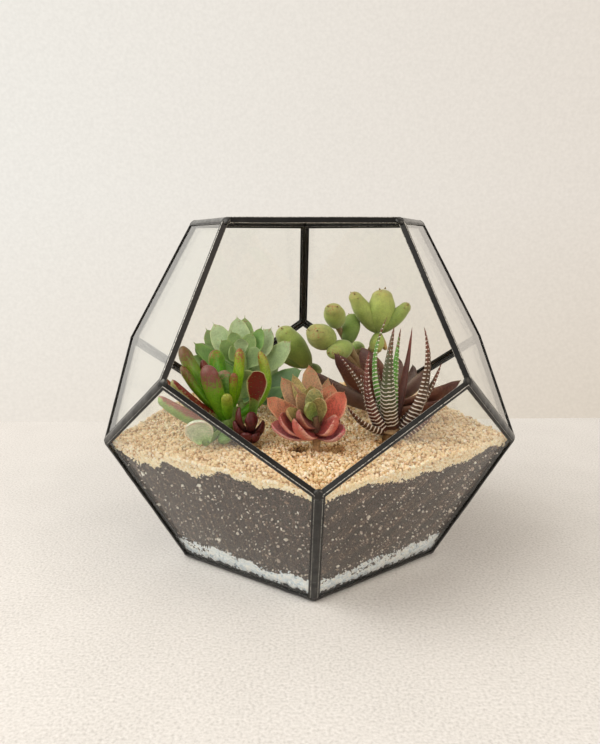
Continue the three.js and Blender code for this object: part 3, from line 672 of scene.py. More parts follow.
def solder_bead(skin, face, i, other):
    """A rounded bead along one seam, from one channel's edge to the other's."""
    start, end = CORNERS[face.corners[i]], CORNERS[face.corners[(i + 1) % 5]]
    along = unit(end - start)
    out = unit(face.normal + other.normal)
    inset = setbacks(face)[i] + BEAD_LAP
    feet = []
    for side in (face, other):
        inward = np.cross(side.normal, along)
        inward *= np.sign(inward @ -out)
        feet.append(inward * inset - side.normal * BEAD_FOOT)
    crest = -out * SOLDER_TOP
    pull = 2 * crest - (feet[0] + feet[1]) / 2
    s = np.linspace(0, 1, BEAD_POINTS)[:, None]
    arc = feet[0] * (1 - s) ** 2 + pull * 2 * s * (1 - s) + feet[1] * s * s
    root = -out * SOLDER_ROOT
    length = np.linalg.norm(end - start)
    rows = []
    for t in np.linspace(BEAD_END, length - BEAD_END, BEAD_STEPS):
        rows.append(np.concatenate([start + along * t + arc, [start + along * t + root]]))
    rows = np.array(rows)
    swell = 0.16 * bumps(rows, 5, seed=5) + 0.08 * bumps(rows, 1.8, seed=6) - 0.06
    weight = np.append(np.sin(np.linspace(0, math.pi, BEAD_POINTS)), 0)
    rows += (swell * weight)[..., None] * out
    rows[..., 2] = np.clip(rows[..., 2], STAND_CLEAR, TOP_HEIGHT)
    tube(skin, rows)


def solder_knot(skin, corner):
    """A flattened drop of solder where three seams meet."""
    faces = [face for face in FACES if any(np.allclose(CORNERS[key], corner) for key in face.corners)]
    out = unit(sum(face.normal for face in faces))
    rings, around = 9, 16
    tilt = np.linspace(0.25, math.pi - 0.25, rings)
    turn = np.linspace(0, 2 * math.pi, around, endpoint=False)
    ball = np.stack([
        np.sin(tilt)[:, None] * np.cos(turn), np.sin(tilt)[:, None] * np.sin(turn),
        np.broadcast_to(np.cos(tilt)[:, None], (rings, around))], axis=-1)
    points = ball * KNOT_RADIUS
    points -= (points @ out)[..., None] * out * 0.5
    points += corner - out * KNOT_SINK
    points += (bumps(points, 1.6, seed=9) * 0.15)[..., None] * out
    points[..., 2] = np.clip(points[..., 2], STAND_CLEAR, TOP_HEIGHT)
    tube(skin, points)


def solder_seams(finish):
    """A bead along every seam between two panes, and a knot on every corner."""
    skin = Skin()
    done = set()
    for face in GLAZED_FACES:
        for i in range(5):
            other = face.neighbour(i)
            edge = frozenset((face.name, other.name))
            if other is not OPEN_FACE and edge not in done:
                done.add(edge)
                solder_bead(skin, face, i, other)
    for corner in CORNERS.values():
        solder_knot(skin, corner)
    skin.piece("solder_beads", finish, "solder", "solder_seams")


# =========================== the fill ===========================

# Where the gravel has been pushed aside round a stem: x, y, radius and depth.
HOLLOWS = [
    (-6, -49, 5, 1.8), (11, -49.5, 5, 1.8), (-30, -44, 5, 1.6), (38, -40, 6, 1.8), (-38, -37, 5, 1.5),
]


def drainage_top(x, y):
    angle = np.arctan2(x, -y)
    return DRAINAGE_HEIGHT + np.sin(4 * angle) + 0.8 * np.sin(9 * angle + 2)


def soil_top(x, y):
    angle = np.arctan2(x, -y)
    return SOIL_HEIGHT + 1.4 * np.sin(3 * angle + 1.1) + 0.9 * np.sin(7 * angle + 0.4)


def gravel_top(x, y):
    """Uneven lumps on a gentle slope. Slow waves bend their rows, so that they don't line up."""
    pace = 2 * math.pi / GRAVEL_LUMP_SPACING
    across = np.cos(pace * x + GRAVEL_ROW_BEND * np.sin(y / GRAVEL_BEND_LENGTHS[0]))
    along = np.cos(pace * y + GRAVEL_ROW_BEND * np.sin(x / GRAVEL_BEND_LENGTHS[1] + 1))
    level = GRAVEL_HEIGHT + GRAVEL_SLOPE * y + GRAVEL_LUMP_RISE * across * along
    for cx, cy, radius, depth in HOLLOWS:
        level = level - depth * np.exp(-((x - cx) ** 2 + (y - cy) ** 2) / radius ** 2)
    return level


INNER_RINGS = (0.985, 0.96, 0.9, 0.8, 0.7, 0.6, 0.5, 0.4, 0.3, 0.2, 0.1)     # of a layer's top


def layer(skin, bottom, top, *, around, rows, lump, seed, tone=0.5, contrast=0.3):
    """A layer of fill from one surface to another, lumpy where it leans on the glass."""
    angle = np.linspace(0, 2 * math.pi, around, endpoint=False)

    def rim(surface):
        reach = wall_radius(angle, 40, FILL_DEPTH)
        for _ in range(4):
            x, y, _z = on_ring(reach, angle, 0).T
            height = surface(x, y)
            reach = wall_radius(angle, height, FILL_DEPTH)
        return height

    low, high = rim(bottom), rim(top)
    rings = []
    for share in (0.5, 0.9):
        reach = wall_radius(angle, low, FILL_DEPTH) * share
        x, y, _z = on_ring(reach, angle, 0).T
        rings.append(on_ring(reach, angle, bottom(x, y)))
    for share in np.linspace(0, 1, rows):
        height = low + (high - low) * share
        rings.append(on_ring(wall_radius(angle, height, FILL_DEPTH), angle, height))
    for share in INNER_RINGS:
        reach = wall_radius(angle, high, FILL_DEPTH) * share
        x, y, _z = on_ring(reach, angle, 0).T
        rings.append(on_ring(reach, angle, top(x, y)))
    points = np.array(rings)
    outward = on_ring(1.0, angle, 0)
    crumbs = bumps(points, 1.7 * lump, seed) + 0.7 * bumps(points, 0.9 * lump, seed + 1)
    points += (crumbs * 0.3 * lump)[..., None] * outward
    points = kept_inside(points, GLASS_BACK + 0.2)
    tube(skin, points, tone=tone + contrast * crumbs)


# A grain starts as a twenty-sided solid with a radius of 1.
ICO = (1 + math.sqrt(5)) / 2
GRAIN_POINTS = np.array([
    (-1, ICO, 0), (1, ICO, 0), (-1, -ICO, 0), (1, -ICO, 0), (0, -1, ICO), (0, 1, ICO),
    (0, -1, -ICO), (0, 1, -ICO), (ICO, 0, -1), (ICO, 0, 1), (-ICO, 0, -1), (-ICO, 0, 1)])
GRAIN_POINTS = GRAIN_POINTS / math.hypot(1, ICO)
GRAIN_FACES = np.array([
    (0, 11, 5), (0, 5, 1), (0, 1, 7), (0, 7, 10), (0, 10, 11), (1, 5, 9), (5, 11, 4), (11, 10, 2),
    (10, 7, 6), (7, 1, 8), (3, 9, 4), (3, 4, 2), (3, 2, 6), (3, 6, 8), (3, 8, 9), (4, 9, 5),
    (2, 4, 11), (6, 2, 10), (8, 6, 7), (9, 8, 1)])


def turns(count):
    """Random rotations."""
    q = rng.normal(size=(count, 4))
    w, x, y, z = (q / np.linalg.norm(q, axis=1, keepdims=True)).T
    return np.stack([
        1 - 2 * (y * y + z * z), 2 * (x * y - w * z), 2 * (x * z + w * y),
        2 * (x * y + w * z), 1 - 2 * (x * x + z * z), 2 * (y * z - w * x),
        2 * (x * z - w * y), 2 * (y * z + w * x), 1 - 2 * (x * x + y * y)], axis=-1).reshape(count, 3, 3)


def scatter(skin, places, sizes, tones, stretch=0.25):
    """Small broken grains, each with its own turn, shape and tone."""
    count, size = len(places), len(GRAIN_POINTS)
    shape = GRAIN_POINTS * (1 + 0.16 * rng.uniform(-1, 1, (count, size, 1)))
    shape = shape * (1 + stretch * rng.uniform(-1, 1, (count, 1, 3)))
    points = np.einsum("nij,nkj->nki", turns(count), shape) * (sizes / 2)[:, None, None]
    points = kept_inside(points + places[:, None, :], GLASS_BACK + 0.12)
    faces = (GRAIN_FACES[None] + size * np.arange(count)[:, None, None]).reshape(-1, 3)
    skin.add(points, faces, tone=np.repeat(tones, size))


def wall_places(count, low, high, inset):
    """Random places just behind the glass, between two heights that depend on the angle."""
    angle = rng.uniform(0, 2 * math.pi, count)
    share = rng.uniform(0, 1, count)
    height = low(angle) + (high(angle) - low(angle)) * share
    return on_ring(wall_radius(angle, height, inset), angle, height)


def line_glass(skin, count, low, high, inset, sizes, spread, darkest=0.0):
    """Grains just behind the glass, between two heights. Their tones spread by a beta curve from darkest."""
    places = wall_places(count, low, high, GLASS_BACK + inset)
    sizes = rng.uniform(*sizes, len(places))
    tones = darkest + (1 - darkest) * rng.beta(*spread, len(places))
    scatter(skin, places, sizes, tones)


def rim_height(surface):
    """The height at which a surface meets the glass, for any angle."""
    def at(angle):
        x, y, _z = on_ring(RIM_RADIUS, angle, 0).T
        return surface(x, y)
    return at


def ragged(angle, seed):
    """How far a layer's edge wanders up and down behind the glass."""
    ring = on_ring(RIM_RADIUS, angle, 0)
    waves = EDGE_WAVE_RISE * bumps(ring, EDGE_WAVE, seed)
    notches = EDGE_NOTCH_RISE * bumps(ring, EDGE_NOTCH, seed + 1)
    return np.clip(waves + notches, -EDGE_LIMIT, EDGE_LIMIT)


def hex_places(spacing):
    """A jittered honeycomb over the whole bed of gravel."""
    reach = 112
    ys = np.arange(-reach, reach, spacing * math.sqrt(3) / 2)
    xs = np.arange(-reach, reach, spacing)
    x = (xs[None, :] + np.where(np.arange(len(ys)) % 2, spacing / 2, 0)[:, None]).ravel()
    y = np.repeat(ys, len(xs))
    x = x + rng.uniform(-0.35, 0.35, len(x)) * spacing
    y = y + rng.uniform(-0.35, 0.35, len(y)) * spacing
    z = gravel_top(x, y)
    angle = np.arctan2(x, -y)
    inside = np.hypot(x, y) < wall_radius(angle, z + 0.3, GLASS_BACK + 0.6)
    return np.stack([x, y, z], axis=-1)[inside]


def drainage(finish):
    """White marble chips: a lumpy bed with loose ones against the glass, and more along its ragged edge."""
    skin = Skin("tone")
    layer(skin, lambda x, y: FILL_DEPTH + 0 * x, drainage_top, around=240, rows=8, lump=1.6, seed=21)
    skin.piece("drainage_bed", finish, "drainage_stone", "drainage_layer")
    level = rim_height(drainage_top)

    def foot(a):
        return FILL_DEPTH + 0.5 + 0 * a

    def jagged(a):
        return level(a) + 0.6 + np.maximum(ragged(a, MARBLE_EDGE), -0.4)

    chips = Skin("tone")
    line_glass(chips, MARBLE_CHIPS, foot, lambda a: level(a) + 0.4, 1.1, (1.6, 3.6), (2.2, 1.4))
    line_glass(chips, MARBLE_CREST, lambda a: level(a) - 1.0, jagged, 1.1, (1.3, 3.0), (2.4, 1.4))
    chips.piece("drainage_chips", finish, "drainage_stone", smooth=False)


def soil(finish, chip_finish):
    """Dark compost with pale chips. Its crumbs reach up into the gravel and down over the drainage layer."""
    skin = Skin("tone")
    layer(skin, lambda x, y: drainage_top(x, y) + LAYER_GAP, soil_top,
          around=640, rows=56, lump=1.0, seed=31)
    skin.piece("soil_bed", finish, "potting_soil", "soil")
    chips = Skin("tone")
    low, high = rim_height(drainage_top), rim_height(soil_top)
    places = wall_places(PALE_CHIPS, lambda a: low(a) + 1.5, lambda a: high(a) - 0.6, GLASS_BACK + 0.6)
    sizes = 0.42 + rng.gamma(1.3, 0.26, len(places))
    scatter(chips, places, np.minimum(sizes, 2.6), rng.beta(1.5, 1.2, len(places)), stretch=0.6)
    chips.piece("soil_chips", chip_finish, "potting_soil", smooth=False)

    def up_from(a):
        return high(a) + np.minimum(ragged(a, SOIL_EDGE), 0) - 0.8

    def up_to(a):
        return high(a) + ragged(a, SOIL_EDGE) + 0.1

    def down_to(a):
        return low(a) + ragged(a, MARBLE_EDGE) + 0.2

    def down_from(a):
        return low(a) + np.maximum(ragged(a, MARBLE_EDGE), 0) + 0.9

    crumbs = Skin("tone")
    line_glass(crumbs, SOIL_CRUMBS, up_from, up_to, 0.9, (0.9, 1.9), (5, 5))
    line_glass(crumbs, SOIL_SPILLS, down_to, down_from, 0.7, (0.8, 1.7), (5, 5))
    crumbs.piece("soil_crumbs", finish, "potting_soil", smooth=False)


def gravel(finish):
    """Loose gravel on a dark bed, whose dark brown is painted shade in the gaps between the grains. The
    grains darken
    in the hollows round the stems: painted shade there, and the dark soil that shows. Against the glass it
    slips down over the soil's ragged edge.
    """
    skin = Skin("tone")
    # The bed's low tone makes it dark brown: painted shade in the gaps between the grains.
    layer(skin, lambda x, y: soil_top(x, y) + LAYER_GAP, lambda x, y: gravel_top(x, y) - 0.5,
          around=360, rows=8, lump=1.2, seed=41, tone=0.2, contrast=0.12)
    skin.piece("gravel_bed", finish, "gravel", "top_gravel")
    places = hex_places(GRAIN_SPACING)
    places[:, 2] += rng.uniform(-0.6, 0.4, len(places))
    tones = np.clip(0.12 + 0.8 * rng.beta(2.2, 1.9, len(places)), 0, 1)
    # Darker towards each stem: painted shade in the hollow, and the dark soil that shows there.
    for cx, cy, radius, _depth in HOLLOWS:
        away = np.hypot(places[:, 0] - cx, places[:, 1] - cy)
        tones = tones * (0.12 + 0.88 * rise(0.5 * radius, 1.5 * radius, away))
    sizes = np.clip(rng.normal(1.55, 0.32, len(places)), 1.0, 2.6)
    for name, part in (("left", places[:, 0] < 0), ("right", places[:, 0] >= 0)):
        grains = Skin("tone")
        scatter(grains, places[part], sizes[part], tones[part])
        grains.piece(f"gravel_grains_{name}", finish, "gravel", smooth=False)
    low, high = rim_height(soil_top), rim_height(gravel_top)

    def rim_from(a):
        return low(a) + np.maximum(ragged(a, SOIL_EDGE), -0.3)

    def slip_to(a):
        return low(a) + ragged(a, SOIL_EDGE) - 0.4

    def slip_from(a):
        return low(a) + np.maximum(ragged(a, SOIL_EDGE), 0) + 0.4

    rim = Skin("tone")
    line_glass(rim, RIM_GRAINS, rim_from, lambda a: high(a) + 0.2, 0.95, (1.1, 2.0), (2.6, 1.7), 0.25)
    line_glass(rim, SLIPPED_GRAINS, slip_to, slip_from, 0.9, (1.1, 1.9), (2.6, 1.7), 0.25)
    rim.piece("gravel_rim", finish, "gravel", smooth=False)


# =========================== leaves and stems ===========================

# A leaf's form: rows of how far along, and what part of the full width and thickness it has there.
BROAD_LEAF = [(0, 0.4, 0.9), (0.34, 0.7, 1), (0.7, 1, 0.75), (0.9, 0.66, 0.45)]
BOAT_LEAF = [(0, 0.5, 0.8), (0.3, 0.84, 1), (0.62, 1, 0.9), (0.87, 0.6, 0.55)]
CHUNKY_LEAF = [(0, 0.55, 0.8), (0.3, 0.9, 1), (0.62, 1, 0.92), (0.87, 0.66, 0.6)]
DISC_LEAF = [(0, 0.4, 1), (0.25, 0.8, 1), (0.55, 1, 0.8), (0.82, 0.8, 0.6)]
FINGER_LEAF = [(0, 0.5, 0.6), (0.3, 0.78, 0.9), (0.62, 1, 1), (0.86, 0.92, 0.9)]
SPOON_LEAF = [(0, 0.36, 0.8), (0.32, 0.5, 1), (0.6, 0.92, 0.9), (0.8, 1, 0.75), (0.93, 0.7, 0.6)]
PLUMP_LEAF = [(0, 0.25, 0.3), (0.12, 0.6, 0.65), (0.35, 0.92, 0.95), (0.62, 1, 1), (0.86, 0.78, 0.75)]
ZEBRA_LEAF = [(0, 0.85, 1), (0.2, 0.9, 0.92), (0.5, 0.62, 0.66), (0.8, 0.28, 0.34), (0.95, 0.09, 0.12)]

SKIN_LUMP = 0.45        # a leaf's slow lumps and their height, as parts of its width
SKIN_LUMP_RISE = 0.018
SPIKE_RADIUS = 0.42

# The white bands across a zebra leaf.
BAND_SPACING = 1.95
BAND_HALF_WIDTH = 0.34
BAND_SWAY = 0.24        # as part of the spacing
BAND_RISE = 0.3

# Colours of a leaf: root, middle, tip, margin and blush. The darker roots are partly the leaves' own colour
# and partly painted shade where the leaves crowd round the core.
HUES = {
    "glaucous": ("#6a9238", "#a8bf8c", "#b6caa0", "#d6e2a8", "#8a4a3c"),
    "sage": ("#587a38", "#8ea86c", "#a0b680", "#c8d89a", "#8a4a3c"),
    "meadow": ("#4e7c28", "#7c9c4e", "#8ea868", "#b8d080", "#8a4a3c"),
    "moss": ("#44781c", "#629834", "#78a448", "#9cc060", "#8a4a3c"),
    # The shade colours are a darker copy of the greens, for leaves that lie low in shadow: painted shade.
    "shade": ("#284c18", "#3c682c", "#5c8446", "#8aae62", "#6a3038"),
    "apricot": ("#8a4c38", "#b06a48", "#c0845c", "#e0b08c", "#a8483a"),
    "mauve": ("#a8606a", "#c8707a", "#d48e8a", "#f0ccc4", "#b84860"),
    "rose": ("#7e3238", "#b04a4c", "#bc5c50", "#f0bcb0", "#9a2c34"),
    "coral": ("#8c3434", "#b84844", "#c4604c", "#f4c4b4", "#a03030"),
    "ember": ("#8a3428", "#bc4c3a", "#c8684c", "#f0bc9c", "#a03430"),
    "plum": ("#6c3a38", "#94504a", "#a86a58", "#c48c70", "#7e3236"),
    "tan": ("#7c5038", "#9c7450", "#b09064", "#ceae84", "#9c5040"),
    "olive": ("#7a7038", "#98904c", "#aca05e", "#c8c084", "#a07a50"),
    "mint": ("#84944c", "#a0a868", "#b0b27a", "#ccce9c", "#b08a5a"),
    "fresh": ("#55782c", "#6d8a35", "#88984a", "#a9b468", "#8a8a4a"),
    "maroon": ("#240c0a", "#381210", "#4c201a", "#74463c", "#54181a"),
    "umber": ("#3a1c12", "#64341f", "#70442f", "#86604a", "#4a1f16"),
    "slate": ("#48302a", "#6c5048", "#7a6458", "#8c7a6c", "#4f3028"),
    "finger": ("#42860a", "#649418", "#78882c", "#8fae50", "#7a4640"),
    "finger_olive": ("#468c08", "#649a18", "#78882a", "#8fae50", "#6c4a2c"),
    "finger_vivid": ("#3e8a06", "#54a00a", "#6ca416", "#8fae50", "#8a5a30"),
    "finger_lime": ("#4c940a", "#74ac1e", "#949c38", "#b4d870", "#8a3a24"),
    "finger_gold": ("#4c940a", "#78a414", "#96a82c", "#a8b450", "#8a5430"),
    "finger_dark": ("#4a5a1c", "#6c4a26", "#7a4032", "#8a5a40", "#6a2a20"),
    "finger_dull": ("#3c7410", "#58882a", "#6c9448", "#8a9a60", "#8a6450"),
    "finger_pale": ("#a4cc80", "#ccdfc0", "#dce8d0", "#f0e0d4", "#d4a89c"),
    "spoon_red": ("#5c8a2a", "#7c9440", "#8c8a50", "#d0c090", "#6a1a0c"),
    "spoon_brown": ("#4a7a1c", "#6c8f34", "#8a8040", "#b09a64", "#7c3a20"),
    "spoon_rose": ("#5a9a2c", "#86b44e", "#9cbc6c", "#d4b49a", "#a0685c"),
    "zebra_green": ("#38501c", "#58903a", "#6ca04a", "#8ab060", "#6a3428"),
    "zebra_dark": ("#4a2c20", "#4c5234", "#5e5a3c", "#5a5a3c", "#6a3a2c"),
    "zebra_red": ("#4a241c", "#5e342c", "#6e3c34", "#6a4038", "#7a3830"),
    "zebra_brown": ("#42261c", "#523c2c", "#644634", "#6a4a38", "#6a3428"),
    "paw": ("#6f8a34", "#8ea84a", "#a0b05a", "#b0b868", "#8a5a34"),
    # paw_sun and paw_shade are lighter and darker copies of paw, for leaves in the light and in shadow:
    # painted light and shade.
    "paw_sun": ("#7d9440", "#9cae54", "#a8ac5c", "#b8b468", "#96603a"),
    "paw_shade": ("#4f6a26", "#66842e", "#7c9440", "#90a050", "#7c5a30"),
    "paw_dry": ("#8a6a34", "#a8854a", "#b8985c", "#c8a86c", "#7c5a30"),
}


def hue(name):
    return [vec(*linear(code)) for code in HUES[name]]


def bands_across(T, side, lift, length, seed):
    """The raised bands of a zebra leaf: whole near its root, and broken into beads further up."""
    sway = bumps(np.stack([side * 9, 0 * side, 0 * side + seed * 7], -1), 3)
    phase = T * length / BAND_SPACING + BAND_SWAY * sway
    ridge = np.exp(-(((phase % 1) - 0.5) * BAND_SPACING / BAND_HALF_WIDTH) ** 2)
    whole = 1 - rise(0.3, 0.62, T)
    beads = np.cos(math.pi * (side[None, :] * 3.2 + (np.floor(phase) % 2))) ** 2
    beads = beads * np.where(np.abs(side) > 0.55, 1, 0.8)
    band = ridge * (whole * (0.82 + 0.18 * beads) + (1 - whole) * beads) * np.where(lift > 0.15, 0.72, 1)
    return band * rise(0.0, 0.06, T) * (1 - rise(0.93, 0.99, T))


def blush_over(where, start, T, reach, side, lift, margin):
    """How strong the blush is: down from the tip, on the hollow face, on top, or round the edges."""
    if where == "tip":
        return rise(start - 0.36, start + 0.22, reach) + 0.15 * margin * rise(0.3, 0.8, T)
    if where == "face":
        return rise(start - 0.2, start + 0.1, T) * np.where(lift > -0.05, 1, 0) * (np.abs(side) < 0.9)
    if where == "top":
        return rise(start - 0.3, start + 0.1, reach) * rise(-0.75, -0.25, lift[None, :])
    return rise(start - 0.5, start + 0.3, T) * np.where(lift > 0, 0.55, 0.85)


def leaf(skin, root, tip, facing, width, thickness, bow, form, colours, *, round_section=False, blunt=1.25,
         spike=0.0, rows=24, around=20, blush_from=0.9, blush_on="tip", lean=0.0, bands=0.0, seed=0):
    """A closed leaf from root to tip. Its upper face looks to a point, its middle bows away from there, and
    lean moves the blush to its right or left."""
    root, tip, facing = vec(*root), vec(*tip), vec(*facing)
    length = np.linalg.norm(tip - root)
    middle = (root + tip) / 2
    along = unit(tip - root)
    up = facing - middle
    up = unit(up - along * (up @ along))
    across = np.cross(along, up)
    pull = middle - 2 * bow * up

    t = 1 - (1 - np.linspace(0, 1, rows, endpoint=False)) ** 1.5
    centre = root * ((1 - t) ** 2)[:, None] + pull * (2 * t * (1 - t))[:, None] + tip * (t * t)[:, None]
    run = (pull - root) * (1 - t)[:, None] + (tip - pull) * t[:, None]
    normal = np.cross(across, run)
    normal /= np.linalg.norm(normal, axis=1, keepdims=True)

    knots, wide, thick = zip(*form)
    end = 1 - spike / length
    inner = np.minimum(t / end, 1)
    tail = np.clip((inner - knots[-1]) / (1 - knots[-1]), 0, 1)
    close = (1 - tail ** blunt) ** (1 / blunt)
    half = follow(np.minimum(inner, knots[-1]), knots, wide) * close * width / 2
    deep = follow(np.minimum(inner, knots[-1]), knots, thick) * close * thickness
    if spike:
        needle = SPIKE_RADIUS * np.clip((1 - t) * length / (1.5 * spike), 0, 1)
        half, deep = np.maximum(half, needle), np.maximum(deep, needle)

    angle = np.linspace(0, 2 * math.pi, around, endpoint=False)
    side, lift = np.cos(angle), np.sin(angle)
    if round_section:
        section = 0.5 * lift
    else:
        section = np.where(lift > 0, 0.15 - 0.3 * np.abs(lift) ** 1.5, 0.15 - np.abs(lift))
    outward = side[None, :, None] * across + lift[None, :, None] * normal[:, None, :]
    points = (
        centre[:, None, :] + (half[:, None] * side)[..., None] * across
        + (deep[:, None] * section)[..., None] * normal[:, None, :]
    )
    lumps = bumps(points, SKIN_LUMP * width, seed) * SKIN_LUMP_RISE * width * close[:, None]
    points += lumps[..., None] * outward

    T = np.broadcast_to(t[:, None], (rows, around))
    band = np.zeros((rows, around))
    if bands:
        band = bands_across(T, side, lift, length, seed) * bands
        points += (band * BAND_RISE)[..., None] * outward

    base, body, end_colour, rim, tint = colours
    # Darker towards the root: partly the leaf's own colour, and partly painted shade where leaves crowd at
    # the core.
    flesh = mix(np.broadcast_to(base, (rows, around, 3)), body, rise(0.0, 0.42, T))
    flesh = mix(flesh, end_colour, rise(0.55, 0.98, T))
    flesh = flesh * (1 + 0.14 * bumps(points, 2.2, seed + 3) + 0.1 * math.sin(5 * seed + 1))[..., None]
    margin = np.abs(side) ** 8 if not round_section else 0 * side
    flesh = mix(flesh, rim, np.broadcast_to(0.75 * margin, (rows, around)) * rise(0.15, 0.4, T))
    reach = T + lean * side[None, :]
    blush = blush_over(blush_on, blush_from, T, reach, side, lift, margin)
    tube(skin, points, end=tip, flesh=flesh, tint=tint, blush=blush, band=band)


def bar(skin, start, end, start_radius, end_radius, colours, rows=14, around=14, seed=0):
    """A stem with a slightly knobbly bark."""
    start, end = vec(*start), vec(*end)
    along = unit(end - start)
    across = unit(np.cross(along, vec(0.3, 0.9, 0.2)))
    other = np.cross(along, across)
    t = np.linspace(0, 1, rows)
    angle = np.linspace(0, 2 * math.pi, around, endpoint=False)
    outward = np.cos(angle)[:, None] * across + np.sin(angle)[:, None] * other
    radius = start_radius + (end_radius - start_radius) * t
    points = start + (end - start) * t[:, None, None] + radius[:, None, None] * outward
    knob = bumps(points, 2.2, seed) * 0.16
    points = points + (knob * radius[:, None])[..., None] * outward
    base, tone = colours
    shade = mix(np.broadcast_to(base, points.shape), tone, 0.5 + 0.5 * bumps(points, 1.4, seed + 1))
    tube(skin, points, flesh=shade, tint=tone, blush=0.0)


def leaf_mesh():
    return Skin("flesh", "tint", "blush", "band")


BARK = [vec(*linear("#6b4f33")), vec(*linear("#a2845b"))]
GREEN_STEM = [vec(*linear("#5d7f35")), vec(*linear("#88a050"))]
TAN_STEM = [vec(*linear("#a07c50")), vec(*linear("#b08a5c"))]
# The pink rosette's core is dark brown: painted shade in the heart of the rosette.
SHADED_PINK_CORE = [vec(*linear("#5c3028")), vec(*linear("#6e5c34"))]
STEM_FOOT = 58.0
INNER_THINNING = 0.4    # the innermost leaves are thinner by this share


def lerp(a, b, share):
    return vec(*a) + (vec(*b) - vec(*a)) * share


def leaf_on_core(skin, root, tip, facing, width, thickness, bow, form, colours, **details):
    """A leaf with its bow as a part of its length, and its colours by name."""
    length = np.linalg.norm(vec(*tip) - root)
    leaf(skin, root, tip, facing, width, thickness, bow * length, form, hue(colours), **details)


def rosette(plant, stem_colours, core_colours, **details):
    """Leaves round a short core. Each row is a leaf's tip, width, place on the core and colours."""
    skin = leaf_mesh()
    x, y = plant["foot"]
    bar(skin, (x, y, STEM_FOOT), plant["heart"], plant["stem"], plant["stem"], stem_colours)
    bar(skin, plant["heart"], plant["crown"], plant["core"], plant["core"] * 0.5, core_colours)
    for i, (*tip, width, place, colours) in enumerate(plant["leaves"]):
        root = lerp(plant["heart"], plant["crown"], place)
        thickness = plant["thickness"] * (1 - INNER_THINNING * place)
        leaf_on_core(skin, root, tip, plant["facing"], width, thickness, plant["bow"], plant["form"],
                     colours, seed=i, **details)
    return skin


GREEN_ROSETTE = {
    "foot": (-36, 10), "stem": 3.5, "heart": (-36, 10, 80), "crown": (-37, 8, 106), "core": 5,
    "facing": (-37, -26, 124), "thickness": 3.4, "bow": 0.1, "form": BROAD_LEAF,
    "leaves": [
        (-40, 21, 126, 13, 0.6, "glaucous"), (-36, 30, 125, 12.5, 0.4, "meadow"),
        (-25, 35, 117, 11, 0.3, "moss"), (-20, 17, 120, 13, 0.6, "glaucous"), (-9, 12, 113, 13, 0.4, "sage"),
        (-54, 22, 122, 13, 0.6, "glaucous"), (-59, 29, 118, 13, 0.35, "meadow"),
        (-64, 13, 112, 12, 0.4, "shade"), (-66, 3, 106, 12, 0.3, "meadow"),
        (-48, 4, 115, 10, 0.7, "meadow"), (-26, 2, 110, 11, 0.7, "sage"), (-3, 3, 98, 13, 0.2, "shade"),
        (-12, -8, 88, 13, 0.1, "shade"), (-35, -10, 101, 11, 0.5, "meadow"), (-52, -5, 98, 12, 0.3, "moss"),
        (-27, -11, 88, 13, 0.1, "shade"), (-47, 42, 102, 13, 0.1, "sage"), (-28, 43, 103, 13, 0.1, "sage"),
        (-17, 29, 100, 13, 0.1, "sage"), (-61, 18, 94, 13, 0.1, "sage"), (-31, 14, 118, 9, 0.85, "meadow"),
        (-43, 12, 119, 9, 0.85, "meadow"), (-37, 6, 116, 8, 0.95, "glaucous"),
        (-4, 14, 86, 12.5, 0, "shade"),
        (-61, -1, 86, 12, 0, "sage"), (-25.5, 14, 121, 9, 0.6, "moss"), (-63, 5, 113, 9, 0.5, "moss"),
        (-47, -8, 104, 8, 0.6, "moss"), (-42, -6, 112, 8, 0.8, "meadow"),
    ],
}

PINK_ROSETTE = {
    "foot": (2, -51), "stem": 2, "heart": (2, -51, 77.5), "crown": (1, -53, 86), "core": 2.6,
    "facing": (-1, -78, 109), "thickness": 5.4, "bow": 0.1, "form": CHUNKY_LEAF,
    "leaves": [
        (-22, -54, 96, 11, 0.3, "apricot"), (-20, -60, 85, 10, 0.05, "mauve"),
        (-16, -62, 89.5, 11.5, 0.15, "rose"), (-8, -67, 88, 12, 0.1, "coral"),
        (9.5, -65, 89, 10, 0.2, "coral"), (15, -53, 98.5, 12, 0.3, "ember"),
        (14.5, -61, 83, 10, 0, "mauve"), (-6.5, -65, 92.5, 8, 0.5, "plum"), (-15, -45, 104, 9.5, 0.4, "tan"),
        (-9.5, -43, 105, 7, 0.5, "olive"), (-1.5, -40, 109, 10.5, 0.5, "tan"), (-7, -56, 99, 8, 0.7, "tan"),
        (-1, -49, 101, 9, 0.7, "olive"), (0.5, -55, 101, 9, 0.8, "mint"), (-2, -60, 94.5, 7, 0.9, "fresh"),
        (10, -44, 100.5, 11.5, 0.3, "apricot"), (8, -42, 103, 6.5, 0.4, "tan"),
        (3.5, -57, 96.5, 8, 0.75, "olive"), (-12.5, -61, 92.5, 8, 0.5, "olive"),
        (14, -47, 84, 9, 0, "mauve"), (-15, -43, 90, 10, 0, "apricot"),
    ],
}

RED_OFFSET = {
    "foot": (-31, -42), "stem": 1.4, "heart": (-31, -42, 73), "crown": (-31, -42, 79), "core": 1.8,
    "facing": (-31, -42, 94), "thickness": 4.2, "bow": 0.14, "form": BROAD_LEAF,
    "leaves": [
        (-35, -43, 88.5, 6.5, 0.5, "maroon"), (-29.5, -44.5, 86.5, 7, 0.5, "maroon"),
        (-24, -42, 81.5, 6.5, 0.2, "maroon"), (-37.5, -43.5, 82, 6, 0.2, "maroon"),
        (-32, -48, 77, 6.5, 0.1, "maroon"), (-26.5, -47, 76.5, 6, 0.1, "maroon"),
        (-30, -39, 85, 5, 0.6, "maroon"),
    ],
}

